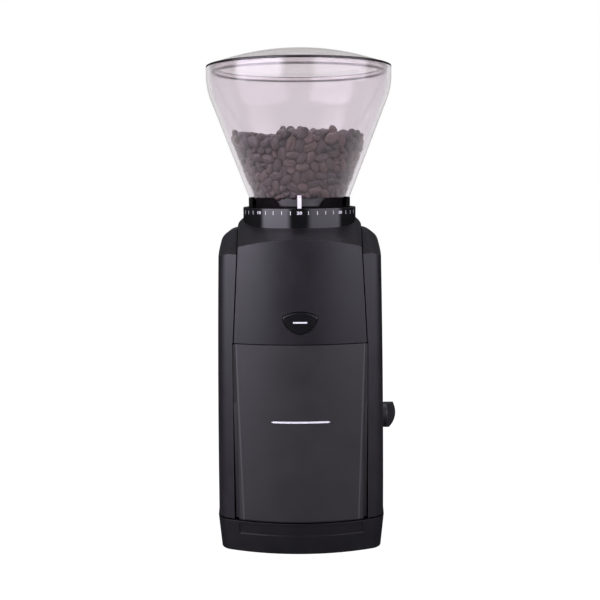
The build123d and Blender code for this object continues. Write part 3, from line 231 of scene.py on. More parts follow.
def clear(name, tint, shadow_tint, dull_below=None):
    """Clear tinted plastic; lamps reach through it by a transparent shader for shadow rays. Below the height
    dull_below it fits close round another piece and shows that plainly."""
    shader = Shader(name)
    body = shader.principled(Roughness=0.0, IOR=CLEAR_IOR, Transmission_Weight=1.0)
    flow = shader.noise(14.0, 2.0)
    shader.link(shader.ramp(flow, [(0.25, tone(tint, 0.985)), (0.75, tint)]), body.inputs["Base Color"])
    shader.link(shader.bump(shader.noise(60.0, 2.0), 0.02 * MM, 0.25), body.inputs["Normal"])
    through = shader.node("ShaderNodeBsdfTransparent")
    through.inputs["Color"].default_value = (*shadow_tint, 1)
    lamps = shader.node("ShaderNodeLightPath")
    mix = shader.node("ShaderNodeMixShader")
    shader.link(lamps.outputs["Is Shadow Ray"], mix.inputs["Fac"])
    looks = body.outputs["BSDF"]
    if dull_below:
        below = shader.math("LESS_THAN", shader.axes()["Z"], dull_below)
        plain = shader.node("ShaderNodeBsdfTransparent")
        plain.inputs["Color"].default_value = (*NECK_TINT, 1)
        dull = shader.node("ShaderNodeMixShader")
        shader.link(below, dull.inputs["Fac"])
        shader.link(looks, dull.inputs[1])
        shader.link(plain.outputs["BSDF"], dull.inputs[2])
        looks = dull.outputs["Shader"]
    shader.link(looks, mix.inputs[1])
    shader.link(through.outputs["BSDF"], mix.inputs[2])
    shader.link(mix.outputs["Shader"], shader.out.inputs["Surface"])
    return shader.material


def printed(name, colour=(0.80, 0.80, 0.82)):
    """Pad-printed ink, slightly uneven."""
    shader = Shader(name)
    body = shader.principled(Metallic=0.0)
    patches = shader.noise(900.0, 2.0)
    shader.link(shader.ramp(patches, [(0.3, tone(colour, 0.93)), (0.7, colour)]), body.inputs["Base Color"])
    shader.link(shader.spread(patches, 0.45, 0.55), body.inputs["Roughness"])
    shader.link(shader.bump(patches, 0.01 * MM, 0.4), body.inputs["Normal"])
    return shader.material


def paint(node, material):
    """Gives a CAD node, or a piece, one material in every slot."""
    obj = NODES[node] if isinstance(node, str) else node
    slots = obj.data.materials
    slots.clear()
    slots.append(material)


# ---------------------------------------------------------------- camera, light and floor

CAMERA_AWAY = 0.6855
CAMERA_UP = 0.2591
CAMERA_TILT = math.radians(7.63)
CAMERA_ROLL = math.radians(-0.36)
SENSOR_WIDTH, LENS = 36.0, 55.992

camera_data = bpy.data.cameras.new("camera")
camera_data.sensor_width = SENSOR_WIDTH
camera_data.lens = LENS
camera_data.clip_start = 0.01
camera_data.clip_end = 50.0
camera = bpy.data.objects.new("camera", camera_data)
scene.collection.objects.link(camera)
turn = Matrix.Rotation(math.radians(90) - CAMERA_TILT, 4, "X") @ Matrix.Rotation(CAMERA_ROLL, 4, "Z")
camera.matrix_world = Matrix.Translation((0, -CAMERA_AWAY, CAMERA_UP)) @ turn
scene.camera = camera


LAMP_COLOUR = (1.0, 0.95, 1.12)
SOFTBOX_AWAY, SOFTBOX_UP, SOFTBOX_AIM = 1.5, 0.78, 0.45
SOFTBOXES = (("left", -50, 64, (2.3, 1.9)), ("right", 54, 45, (2.8, 1.9)))  # name, azimuth, watts and size
OVERHEAD_PLACE, OVERHEAD_TARGET = (0, 0.35, 1.5), (0, 0, 0.2)
OVERHEAD_POWER, OVERHEAD_SIZE = 16, (1.3, 0.9)
EDGE_FADE, FOOT_FADE = 0.2, 0.24


def area_light(name, place, target, size, power):
    """A rectangular lamp turned towards target, which the camera doesn't see directly."""
    data = bpy.data.lights.new(name, "AREA")
    data.shape = "RECTANGLE"
    data.size = size[0]
    data.size_y = size[1]
    data.energy = power
    data.color = LAMP_COLOUR
    light = bpy.data.objects.new(name, data)
    scene.collection.objects.link(light)
    light.location = place
    light.rotation_euler = (Vector(target) - Vector(place)).to_track_quat("-Z", "Y").to_euler()
    light.visible_camera = False
    return light


def softbox(name, azimuth, power, size):
    """A softbox round the front, standing azimuth degrees to the right of the camera's direction."""
    turn = math.radians(azimuth)
    place = (SOFTBOX_AWAY * math.sin(turn), -SOFTBOX_AWAY * math.cos(turn), SOFTBOX_UP)
    return area_light(name, place, (0, 0, SOFTBOX_AIM), size, power)


def combined(tree, operation, first, second):
    """Two values of a tree put together by one of the maths operations."""
    made = tree.nodes.new("ShaderNodeMath")
    made.operation = operation
    tree.links.new(first, made.inputs[0])
    tree.links.new(second, made.inputs[1])
    return made.outputs[0]


def fade_edges(light, foot):
    """Makes an area light fall off over a share of its size: EDGE_FADE, or foot at its lower edge."""
    light.data.use_nodes = True
    tree = light.data.node_tree
    glow = next(node for node in tree.nodes if node.type == "EMISSION")
    across = tree.nodes.new("ShaderNodeNewGeometry")
    split = tree.nodes.new("ShaderNodeSeparateXYZ")
    tree.links.new(across.outputs["Parametric"], split.inputs["Vector"])
    level = None
    for side in ("X", "Y"):
        first_width = foot if side == "Y" else EDGE_FADE
        for start, end in ((0.0, first_width), (1.0, 1.0 - EDGE_FADE)):
            fade = tree.nodes.new("ShaderNodeMapRange")
            fade.interpolation_type = "SMOOTHSTEP"
            fade.inputs["From Min"].default_value = start
            fade.inputs["From Max"].default_value = end
            tree.links.new(split.outputs[side], fade.inputs["Value"])
            faded = fade.outputs["Result"]
            level = combined(tree, "MULTIPLY", level, faded) if level else faded
    tree.links.new(level, glow.inputs["Strength"])


for side, azimuth, power, size in SOFTBOXES:
    fade_edges(softbox("softbox_" + side, azimuth, power, size), FOOT_FADE)
fade_edges(area_light("overhead", OVERHEAD_PLACE, OVERHEAD_TARGET, OVERHEAD_SIZE, OVERHEAD_POWER), EDGE_FADE)


BACKDROP = (0.0, 1.0, -2.5)  # points towards the low part of the back
BOUNCED_SHARE, FRONT_SHARE = 0.6, 0.45


def seen_rays(tree, place, start, end):
    """How white this is to a ray. It is 1 for what the camera sees directly or through something clear. For
    what is mirrored in a clear wall it is BOUNCED_SHARE for each clear surface passed before, up to 1. Where
    none was passed, it is BOUNCED_SHARE towards the low part of the back, where place is further than end
    along BACKDROP, and FRONT_SHARE of that on the other side of start."""
    rays = tree.nodes.new("ShaderNodeLightPath")
    along = tree.nodes.new("ShaderNodeVectorMath")
    along.operation = "DOT_PRODUCT"
    along.inputs[1].default_value = BACKDROP
    tree.links.new(place, along.inputs[0])
    behind = tree.nodes.new("ShaderNodeMapRange")
    behind.inputs["From Min"].default_value = start
    behind.inputs["From Max"].default_value = end
    behind.inputs["To Min"].default_value = FRONT_SHARE
    tree.links.new(along.outputs["Value"], behind.inputs["Value"])
    caught = combined(tree, "MAXIMUM", rays.outputs["Transmission Depth"], behind.outputs["Result"])
    bounced = combined(tree, "MULTIPLY", rays.outputs["Is Singular Ray"], caught)
    inside = tree.nodes.new("ShaderNodeMath")
    inside.operation = "MULTIPLY"
    inside.inputs[1].default_value = BOUNCED_SHARE
    tree.links.new(bounced, inside.inputs[0])
    direct = combined(tree, "MAXIMUM", rays.outputs["Is Camera Ray"], rays.outputs["Is Transmission Ray"])
    either = tree.nodes.new("ShaderNodeMath")
    either.operation = "MAXIMUM"
    either.use_clamp = True
    tree.links.new(direct, either.inputs[0])
    tree.links.new(inside.outputs[0], either.inputs[1])
    return either.outputs[0]


WORLD_FILL = 0.08
WORLD_TURN = (0.2, 0.6)  # where along BACKDROP the low part of the back starts and is full

world = bpy.data.worlds.new("studio")
scene.world = world
world.use_nodes = True
tree = world.node_tree
tree.nodes.clear()
output = tree.nodes.new("ShaderNodeOutputWorld")
seen = tree.nodes.new("ShaderNodeBackground")
seen.inputs["Color"].default_value = (1, 1, 1, 1)
lighting = tree.nodes.new("ShaderNodeBackground")
lighting.inputs["Color"].default_value = (1, 1, 1, 1)
lighting.inputs["Strength"].default_value = WORLD_FILL
mix = tree.nodes.new("ShaderNodeMixShader")
directions = tree.nodes.new("ShaderNodeTexCoord").outputs["Generated"]
tree.links.new(seen_rays(tree, directions, *WORLD_TURN), mix.inputs["Fac"])
tree.links.new(lighting.outputs[0], mix.inputs[1])
tree.links.new(seen.outputs[0], mix.inputs[2])
tree.links.new(mix.outputs[0], output.inputs["Surface"])


FLOOR_SIZE, FLOOR_GAP = 12, 0.0002
FLOOR_TURN = (0.0, 0.1)
BAND_NEAR, BAND_FAR, BAND_FADE, BAND_GLOW = -0.09, -0.50, 0.08, 0.05  # the lit band's ends lie in front


def pale_floor():
    """White floor: bright to the camera; mirrored, it is a lit band before the object and dim elsewhere."""
    shader = Shader("pale_floor")
    cloth = shader.node("ShaderNodeBsdfDiffuse")
    shader.link(shader.ramp(shader.noise(3.0, 3.0), [(0.3, (0.07, 0.07, 0.07)), (0.7, (0.08, 0.08, 0.08))]),
                cloth.inputs["Color"])
    forward = shader.axes()["Y"]
    rises = []
    for start, end in ((BAND_NEAR, BAND_NEAR - BAND_FADE), (BAND_FAR, BAND_FAR + BAND_FADE)):
        rise = shader.node("ShaderNodeMapRange", interpolation_type="SMOOTHSTEP")
        rise.inputs["From Min"].default_value = start
        rise.inputs["From Max"].default_value = end
        shader.link(forward, rise.inputs["Value"])
        rises.append(rise.outputs["Result"])
    band = shader.math("MULTIPLY", shader.math("MULTIPLY", *rises), BAND_GLOW)
    mirrored = shader.node("ShaderNodeEmission")
    shader.link(band, mirrored.inputs["Strength"])
    dim = shader.node("ShaderNodeAddShader")
    shader.link(cloth.outputs[0], dim.inputs[0])
    shader.link(mirrored.outputs[0], dim.inputs[1])
    glow = shader.node("ShaderNodeEmission")
    glow.inputs["Strength"].default_value = 1.0
    lit = shader.node("ShaderNodeAddShader")
    shader.link(cloth.outputs[0], lit.inputs[0])
    shader.link(glow.outputs[0], lit.inputs[1])
    mix = shader.node("ShaderNodeMixShader")
    shader.link(seen_rays(shader.tree, shader.place, *FLOOR_TURN), mix.inputs["Fac"])
    shader.link(dim.outputs[0], mix.inputs[1])
    shader.link(lit.outputs[0], mix.inputs[2])
    shader.link(mix.outputs[0], shader.out.inputs["Surface"])
    return shader.material


bpy.ops.mesh.primitive_plane_add(size=FLOOR_SIZE, location=(0, 0, cad_box[0].z - FLOOR_GAP))
floor = bpy.context.object
floor.name = "floor"
paint(floor, pale_floor())


# ---------------------------------------------------------------- materials of the CAD pieces

# After its name and colour, a moulded plastic has its roughness, the scale and depth of its grain and the
# radius of its edges. A metal has its roughness, the stretch of its marks, its edges and the marks' scale.

SHELL = (0.0080, 0.0074, 0.0092)
NECK_TOP = 243.4 * MM
shell = moulded("charcoal_shell", SHELL, 0.36, 1400.0, 0.03, 0.35)
side = moulded("charcoal_sides", tone(SHELL, 0.92), 0.38, 1400.0, 0.03, 0.35)
# Painted shade: the base is the shell's plastic made darker, for the shade down by the floor.
shaded_base = moulded("charcoal_base_painted_shade", tone(SHELL, 0.75), 0.34, 1400.0, 0.03, 0.3)
gloss = moulded("gloss_black", (0.006, 0.006, 0.0065), 0.12, 300.0, 0.004, 0.2)
inner = moulded("inner_black", (0.008, 0.008, 0.0085), 0.55, 900.0, 0.04, 0.2)
rubber = moulded("black_rubber", (0.014, 0.014, 0.014), 0.75, 700.0, 0.05, 0.3)
steel = metal("ground_steel", (0.56, 0.56, 0.57))
smoke = smoked("smoked_plastic_and_highlight", (0.020, 0.0187, 0.0197), (0.085, 0.080, 0.085))
hopper_clear = clear("hopper_clear", (0.80, 0.755, 0.787), (0.80, 0.765, 0.78), dull_below=NECK_TOP)
lid_clear = clear("lid_clear", (0.89, 0.862, 0.862), (0.70, 0.66, 0.68))
button_plastic = moulded("button_plastic", (0.004, 0.004, 0.0045), 0.25, 1200.0, 0.01, 0.3)
tabs = moulded("matt_black", (0.004, 0.004, 0.004), 0.7, 900.0, 0.02, 0.2, shine=0.1)
knob = moulded("knob_plastic", (0.021, 0.020, 0.022), 0.45, 1200.0, 0.02, 0.3)
throat = moulded("throat_plastic", (0.070, 0.076, 0.074), 0.5, 900.0, 0.02, 0.2)

LOOKS = {
    "upper_housing": shell, "left_side_cover": side, "right_side_cover": side, "rear_cover": side,
    "base": shaded_base, "bottom_plate": inner, "foot_ring": rubber, "bin_bay": inner, "grind_chamber": inner,
    "grounds_chute": inner, "damper_mounts": rubber, "cable_gland": rubber, "scale_ring": gloss,
    "adjuster_ring": tabs, "burr_carrier": inner, "hopper": hopper_clear, "hopper_lid": lid_clear,
    "grounds_bin": smoke, "pulse_button": button_plastic, "power_knob": knob, "throat_liner": throat,
    "carrier_springs": steel, "ring_burr": steel, "cone_burr": steel, "main_shaft": steel,
    "burr_washer": steel, "burr_nut": steel, "base_screws": steel, "gearbox_screws": steel,
    "intermediate_pin": steel, "motor_shaft": steel, "shaft_bearings": steel,
    "motor_can": metal("zinc_plate", (0.50, 0.50, 0.49), 0.4, (1, 1, 1)),
    "armature": metal("laminated_steel", (0.32, 0.32, 0.33), 0.45, (0.02, 0.02, 6), 0.05, 400.0),
    "commutator": metal("copper", (0.72, 0.36, 0.22), 0.3),
    "motor_pinion": metal("brass", (0.72, 0.53, 0.22), 0.28),
    "motor_bearings": metal("sintered_bronze", (0.45, 0.31, 0.14), 0.5, (1, 1, 1)),
    "heat_sink": metal("extruded_aluminium", (0.62, 0.62, 0.63), 0.42, (1, 1, 0.05)),
    "burr_gasket": moulded("red_silicone", (0.30, 0.03, 0.02), 0.6, 700.0),
    "paddle_wheel": moulded("satin_black", (0.011, 0.011, 0.012), 0.33, 1200.0, 0.02, 0.3),
    "felt_washer": moulded("wool_felt", (0.62, 0.58, 0.50), 0.95, 2500.0, 0.15, 0.0),
    "gearbox_housing": moulded("filled_nylon", (0.05, 0.05, 0.052), 0.6, 500.0, 0.05),
    "drive_gear": moulded("acetal_gear", (0.74, 0.72, 0.66), 0.38, 900.0, 0.01),
    "motor_magnets": moulded("ferrite", (0.03, 0.03, 0.03), 0.7, 800.0, 0.05),
    "motor_brushes": moulded("carbon", (0.03, 0.03, 0.032), 0.5, 1500.0, 0.04),
    "thermal_cutout": moulded("cutout_resin", (0.62, 0.58, 0.46), 0.5),
    "switch_plunger": moulded("red_plastic", (0.42, 0.02, 0.015), 0.35),
    "pulse_switch": moulded("switch_case", (0.02, 0.02, 0.025), 0.45),
    "circuit_board": moulded("green_board", (0.02, 0.13, 0.05), 0.3, 300.0, 0.02, coat=0.4),
    "capacitor": moulded("blue_sleeve", (0.015, 0.03, 0.12), 0.2, 200.0, 0.01, coat=0.5),
    "terminal_block": moulded("green_terminal", (0.03, 0.2, 0.08), 0.4),
}
LOOKS["gearbox_cover"] = LOOKS["motor_end_bell"] = LOOKS["gearbox_housing"]
LOOKS["intermediate_gear"] = LOOKS["drive_gear"]
LOOKS["switch_shaft"] = LOOKS["switch_plunger"]
LOOKS["rotary_switch"] = LOOKS["pulse_switch"]
for name, look in LOOKS.items():
    paint(name, look)


# ---------------------------------------------------------------- mesh helpers

def mesh_piece(name, vertices, faces, material, body, smooth=True):
    """A mesh piece riding on a body, with its vertices in metres in the frame of the CAD."""
    mesh = bpy.data.meshes.new(name)
    mesh.from_pydata([tuple(v) for v in vertices], [], [tuple(f) for f in faces])
    mesh.update()
    mesh.polygons.foreach_set("use_smooth", [smooth] * len(mesh.polygons))
    piece = bpy.data.objects.new(name, mesh)
    scene.collection.objects.link(piece)
    mesh.materials.append(material)
    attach(piece, body)
    return piece


def lathe(profile, segments=160):
    """A closed (radius, height) outline turned round the hopper's axis, in millimetres."""
    points, faces = [], []
    count = len(profile)
    for step in range(segments):
        turn = 2 * math.pi * step / segments
        points += [(r * math.cos(turn) * MM, r * math.sin(turn) * MM, z * MM) for r, z in profile]
    for step in range(segments):
        here, there = step * count, (step + 1) % segments * count
        faces += [(here + k, there + k, there + (k + 1) % count, here + (k + 1) % count)
                  for k in range(count)]
    return points, faces


# ---------------------------------------------------------------- edges of the lid and of the bin

LIP_HEIGHT, LIP_PROUD = 1.3, 0.06
SKIRT_INNER, SKIRT_OUTER = 60.14, 62.44
LID_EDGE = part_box("hopper_lid")[1].x / MM
LID_LIP_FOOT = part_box("hopper_lid")[0].z / MM
SEAM_LEVEL = 334.7  # where the lid meets the hopper's rim
LID_EDGE_BAND = [(LID_EDGE + away, SEAM_LEVEL + up) for away, up in (
    (-0.8, 0.0), (0.12, 0.04), (0.18, 0.3), (0.18, 0.9), (-0.1, 1.4), (-0.9, 1.72), (-1.1, 1.3))]
LID_LIP = [(radius, LID_LIP_FOOT + up) for radius, up in (
    (SKIRT_INNER, -LIP_PROUD), (SKIRT_OUTER, -LIP_PROUD), (SKIRT_OUTER + 0.03, 0.1),
    (SKIRT_OUTER, LIP_HEIGHT), (SKIRT_INNER, LIP_HEIGHT))]


def lip_plastic():
    """The thick lip of clear plastic, painted dark and half see-through: painted shade for the smoky look
    that light caught in it gives.
    """
    shader = Shader("lip_painted_shade")
    body = shader.principled(Roughness=0.15, Alpha=0.5)
    # painted shade: a dark grey for the light caught in the clear lip
    shader.link(shader.ramp(shader.noise(30.0), [(0.3, (0.030, 0.026, 0.029)), (0.7, (0.045, 0.040, 0.043))]),
                body.inputs["Base Color"])
    shader.link(shader.bump(shader.noise(60.0, 2.0), 0.02 * MM, 0.25), body.inputs["Normal"])
    return shader.material


# Painted shade: a dark band round the clear lid's lower edge, for the dark line that edge shows.
lid_edge_shade = moulded("lid_edge_painted_shade", (0.012, 0.008, 0.0085), 0.25, 600.0, 0.01, 0.0)
mesh_piece("lid_edge_band", *lathe(LID_EDGE_BAND), lid_edge_shade, "lid")
mesh_piece("lid_skirt_lip", *lathe(LID_LIP), lip_plastic(), "lid")


SLEEVE_OPEN, SLEEVE_STEPS = math.radians(66), 60  # half-angle of the opening, and steps round the rest
SLEEVE_SECTION = ((36.72, 236.4), (36.95, 236.5), (36.98, 242.7), (36.8, 243.1), (36.72, 243.1))


def neck_sleeve():
    """A black sleeve round the clear neck, open in front where the tabs of the adjuster show."""
    points, faces = [], []
    for step in range(SLEEVE_STEPS + 1):
        turn = SLEEVE_OPEN + (2 * math.pi - 2 * SLEEVE_OPEN) * step / SLEEVE_STEPS
        for radius, z in SLEEVE_SECTION:
            points.append((radius * math.sin(turn) * MM, -radius * math.cos(turn) * MM, z * MM))
    count = len(SLEEVE_SECTION)
    for step in range(SLEEVE_STEPS):
        here = step * count
        for k in range(count):
            nxt = (k + 1) % count
            faces.append((here + k, here + nxt, here + count + nxt, here + count + k))
    faces += [tuple(range(count)), tuple(range(SLEEVE_STEPS * count, (SLEEVE_STEPS + 1) * count))]
    return points, faces


mesh_piece("neck_sleeve", *neck_sleeve(), tabs, "hopper", smooth=False)


FLANGE_LEVELS = ((23.4, 42.9, 45.6), (104.8, 43.9, 46.0))  # height, inner and outer half-width
FLANGE_FRONT, FLANGE_THICK = -61.3, 1.6
FLANGE_SWELL, FLANGE_CORNER = 0.5, 0.4  # how far its inner edge stands forward, and the chamfer outside


def bin_flanges():
    """Narrow upright flanges that close the gaps beside the front of the bin."""
    points, faces = [], []
    back = FLANGE_FRONT + FLANGE_THICK
    for side in (-1, 1):
        start = len(points)
        for z, inner, outer in FLANGE_LEVELS:
            outline = ((inner, FLANGE_FRONT - FLANGE_SWELL), (outer - FLANGE_CORNER, FLANGE_FRONT),
                       (outer, FLANGE_FRONT + FLANGE_CORNER), (outer, back), (inner, back))
            points += [(side * x * MM, y * MM, z * MM) for x, y in outline]
        count = len(outline)
        for k in range(count):
            low, nxt = start + k, start + (k + 1) % count
            faces.append((low, nxt, nxt + count, low + count))
        faces.append(tuple(start + k for k in range(count)))
        faces.append(tuple(start + count + k for k in range(count)))
    return points, faces


mesh_piece("bin_flanges", *bin_flanges(), smoke, "bin", smooth=False)


# ---------------------------------------------------------------- coffee beans

BEAN_BALL, BEAN_HALF = 3.25, 2.05  # a settling bean is two balls of this radius, this far from its middle
BEAN_FLOOR = 234.6
BEAN_PITCH, BEAN_JITTER = 8.4, 1.2  # of the grid that they are poured from
POUR_BOTTOM, POUR_TOP = 239.0, 352.0
POUR_RADIUS, POUR_MARGIN = 64, 5  # half-width of the grid, and how far it stays from the wall
SETTLE_STEPS, SLOW_FROM = 190, 150
FAST_FALL, SLOW_FALL = 0.45, 0.12  # per step, in millimetres
PAIR_EVERY, PAIR_REACH = 4, 2 * BEAN_BALL + 2.2  # close pairs are looked for again after so many steps
PUSHES, SHARED_PUSH = 4, 0.55  # pushes apart in each step, and how a ball with many neighbours shares them
BAND_INSIDE, TABS_TOP = 30.0, 243.6  # below the tops of the tabs the beans keep within this radius
INNER_NECK, CONE_START, CONE_GROWTH = 34.0, 243.8, 0.3845
WALL_GAP = 0.25


def wall_radius(z):
    """Inside radius of the hopper at height z, in millimetres."""
    cone = INNER_NECK + CONE_GROWTH * (z - CONE_START)
    return np.where(z < TABS_TOP, BAND_INSIDE, np.maximum(cone, BAND_INSIDE))


def keep_inside(balls):
    """Pushes balls back inside the hopper's wall and above the burrs."""
    balls[:, 2] = np.maximum(balls[:, 2], BEAN_FLOOR + BEAN_BALL)
    away = np.maximum(np.hypot(balls[:, 0], balls[:, 1]), 1e-6)
    lean = math.hypot(1.0, CONE_GROWTH)
    limit = wall_radius(balls[:, 2]) - (BEAN_BALL + WALL_GAP) * lean
    over = np.maximum(away - limit, 0.0) / lean ** 2
    balls[:, 0] -= balls[:, 0] / away * over
    balls[:, 1] -= balls[:, 1] / away * over
    balls[:, 2] += over * CONE_GROWTH
    return balls


def near_pairs(balls, reach):
    """Pairs of balls of different beans that are within reach of each other."""
    count = len(balls) // 2
    tree = kdtree.KDTree(len(balls))
    for number, ball in enumerate(balls):
        tree.insert(ball, number)
    tree.balance()
    pairs = [(number, other) for number, ball in enumerate(balls)
             for _, other, _ in tree.find_range(ball, reach) if other > number and other - number != count]
    return np.array(pairs)


def settle_beans(rng):
    """Middles and directions of beans that have fallen into the hopper."""
    steps = np.arange(-POUR_RADIUS, POUR_RADIUS, BEAN_PITCH)
    levels = np.arange(POUR_BOTTOM, POUR_TOP, BEAN_PITCH)
    middles = np.array([(x, y, z) for z in levels for x in steps for y in steps
                        if math.hypot(x, y) < float(wall_radius(z)) - POUR_MARGIN])
    middles += rng.uniform(-BEAN_JITTER, BEAN_JITTER, middles.shape)
    axes = rng.normal(size=middles.shape)
    axes /= np.linalg.norm(axes, axis=1)[:, None]
    count = len(middles)
    for step in range(SETTLE_STEPS):
        middles[:, 2] -= FAST_FALL if step < SLOW_FROM else SLOW_FALL
        if step % PAIR_EVERY == 0:
            balls = np.vstack([middles + axes * BEAN_HALF, middles - axes * BEAN_HALF])
            first, second = near_pairs(balls, PAIR_REACH).T
        for _ in range(PUSHES):
            balls = np.vstack([middles + axes * BEAN_HALF, middles - axes * BEAN_HALF])
            gap = balls[first] - balls[second]
            apart = np.maximum(np.linalg.norm(gap, axis=1), 1e-6)
            push = gap / apart[:, None] * (0.5 * np.maximum(2 * BEAN_BALL - apart, 0))[:, None]
            touching = apart < 2 * BEAN_BALL
            hits = np.bincount(first, touching, 2 * count) + np.bincount(second, touching, 2 * count)
            move = [np.bincount(first, push[:, k], 2 * count) - np.bincount(second, push[:, k], 2 * count)
                    for k in range(3)]
            balls = keep_inside(balls + np.stack(move, axis=1) / np.maximum(SHARED_PUSH * hits, 1.0)[:, None])
            middles = (balls[:count] + balls[count:]) / 2
            axes = balls[:count] - balls[count:]
            axes /= np.linalg.norm(axes, axis=1)[:, None]
    return middles, axes


BEAN_LENGTH, BEAN_WIDTH, BEAN_BACK, BEAN_FLAT = 10.6, 7.5, 3.2, 2.1
BLUNTNESS = 2.3  # power of the curve from a bean's middle to its ends
CREASE_DEPTH = 0.75
TIP_HEIGHT = 0.2
ROUND_ANGLES = (0, 28, 56, 84, 110, 134, 154, 169, 180)
ALONG = (-0.93, -0.78, -0.55, -0.28, 0.0, 0.28, 0.55, 0.78, 0.93)


def bean_form():
    """Vertices and faces of one bean: long axis X, flat creased side -Z, in millimetres."""
    round_way = [math.radians(a) for a in ROUND_ANGLES] + [-math.radians(a) for a in ROUND_ANGLES[-2:0:-1]]
    points = []
    for share in ALONG:
        girth = (1 - abs(share) ** BLUNTNESS) ** 0.5
        for angle in round_way:
            up = math.cos(angle)
            height = BEAN_BACK if up > 0 else BEAN_FLAT
            z = girth * height * up
            if abs(abs(angle) - math.pi) < 1e-6:
                z += CREASE_DEPTH * (1 - share ** 2)
            points.append((share * BEAN_LENGTH / 2, girth * BEAN_WIDTH / 2 * math.sin(angle), z))
    around = len(round_way)
    faces = []
    for ring in range(len(ALONG) - 1):
        for k in range(around):
            nxt = (k + 1) % around
            low, high = ring * around, (ring + 1) * around
            faces.append((low + k, low + nxt, high + nxt, high + k))
    last = (len(ALONG) - 1) * around
    points += [(-BEAN_LENGTH / 2, 0, TIP_HEIGHT), (BEAN_LENGTH / 2, 0, TIP_HEIGHT)]
    for k in range(around):
        nxt = (k + 1) % around
        faces.append((len(points) - 2, nxt, k))
        faces.append((len(points) - 1, last + k, last + nxt))
    return np.array(points), faces


HEAP_LEVEL, MOUND_HEIGHT, MOUND_SPREAD = 287.5, 6.0, 16.0
MOUND_X, MOUND_Y = 6, -10
SHOWN_DEPTH = 16  # beans deeper than this inside the heap are never seen
WALL_BEAN = 8  # beans nearer to the wall than this lie flat against it
BEAN_TILT = 0.22
BEAN_SIZES = (0.92, 1.06)
BEAN_SEED = 11


def surface_height(x, y):
    """Top of the heap of beans, in millimetres: a low mound, a little right of the middle."""
    return HEAP_LEVEL + MOUND_HEIGHT * np.exp(-((x - MOUND_X) ** 2 + (y - MOUND_Y) ** 2) / MOUND_SPREAD ** 2)


def bean_heap():
    """All the beans that can be seen, as one mesh."""
    rng = np.random.default_rng(BEAN_SEED)
    middles, axes = settle_beans(rng)
    away = np.hypot(middles[:, 0], middles[:, 1])
    depth = surface_height(middles[:, 0], middles[:, 1]) - middles[:, 2]
    from_wall = wall_radius(middles[:, 2]) - away
    shown = (depth > 0) & ((from_wall < SHOWN_DEPTH) | (depth < SHOWN_DEPTH))
    form, faces = bean_form()
    vertices, polygons = [], []
    for middle, axis, gap in zip(middles[shown], axes[shown], from_wall[shown]):
        outward = np.array([middle[0], middle[1], -CONE_GROWTH * math.hypot(middle[0], middle[1])])
        thin = outward / np.linalg.norm(outward) if gap < WALL_BEAN else rng.normal(size=3)
        thin = thin * rng.choice([1.0, 1.0, -1.0]) + rng.normal(size=3) * BEAN_TILT
        thin -= axis * thin.dot(axis)
        thin /= max(np.linalg.norm(thin), 1e-6)
        across = np.cross(thin, axis)
        size = rng.uniform(*BEAN_SIZES)
        turned = form * size @ np.array([axis, across, thin]) + middle
        start = len(vertices)
        vertices.extend(turned * MM)
        polygons.extend([tuple(start + k for k in face) for face in faces])
    return vertices, polygons


def roasted():
    """Roasted coffee: each bean a slightly different brown, with a satin, faintly wrinkled skin."""
    shader = Shader("roasted_beans")
    body = shader.principled(Metallic=0.0)
    each = shader.node("ShaderNodeNewGeometry").outputs["Random Per Island"]
    tones = shader.ramp(each, [(0.0, (0.038, 0.027, 0.028)), (0.5, (0.058, 0.039, 0.038)),
                               (1.0, (0.090, 0.056, 0.050))])
    blotches = shader.noise(420.0, 4.0)
    mix = shader.node("ShaderNodeMix", data_type="RGBA", blend_type="MULTIPLY")
    mix.inputs["Factor"].default_value = 1.0
    shader.link(tones, mix.inputs["A"])
    shader.link(shader.ramp(blotches, [(0.3, (0.72, 0.70, 0.68)), (0.7, (1.0, 1.0, 1.0))]), mix.inputs["B"])
    shader.link(mix.outputs["Result"], body.inputs["Base Color"])
    shader.link(shader.spread(blotches, 0.42, 0.60), body.inputs["Roughness"])
    shader.link(shader.bump(shader.noise(1100.0, 3.0), 0.08 * MM, 0.6), body.inputs["Normal"])
    return shader.material


mesh_piece("coffee_beans", *bean_heap(), roasted(), "hopper")


# ---------------------------------------------------------------- printed marks

INK_PROUD = 0.04 * MM
ink = printed("white_ink")


def patch(low, high, place, across=2, up=2):
    """A grid of points from low to high, (u, v) in metres, each put where place(u, v) says."""
    points, faces = [], []
    for row in range(up + 1):
        for column in range(across + 1):
            u = low[0] + (high[0] - low[0]) * column / across
            v = low[1] + (high[1] - low[1]) * row / up
            points.append(place(u, v))
    for row in range(up):
        for column in range(across):
            corner = row * (across + 1) + column
            faces.append((corner, corner + 1, corner + across + 2, corner + across + 1))
    return points, faces


def joined(parts):
    """Several (points, faces) as one."""
    points, faces = [], []
    for more, polygons in parts:
        start = len(points)
        points += more
        faces += [tuple(start + k for k in face) for face in polygons]
    return points, faces


def on_cylinder(radius, angle=0.0):
    """Maps u, measured round to the right from angle, and height v to a cylinder's front."""
    def place(u, v):
        turn = angle + u / radius
        return (radius * math.sin(turn), -radius * math.cos(turn), v)
    return place


RING_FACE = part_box("scale_ring")[1].x + INK_PROUD
MARK_MIDDLE = 0.2330  # height of the middle of the scale
TICK_HALF, TICK_HEIGHT = 0.00020, 0.0026
NUMERAL_SIZE, NUMERAL_STRETCH, NUMERAL_BOLD = 0.0028, 1.35, 0.00008
RING_TURN = math.radians(88)
LAST_SETTING, TICK_STEP, NUMERAL_STEP = 40, 2, 10


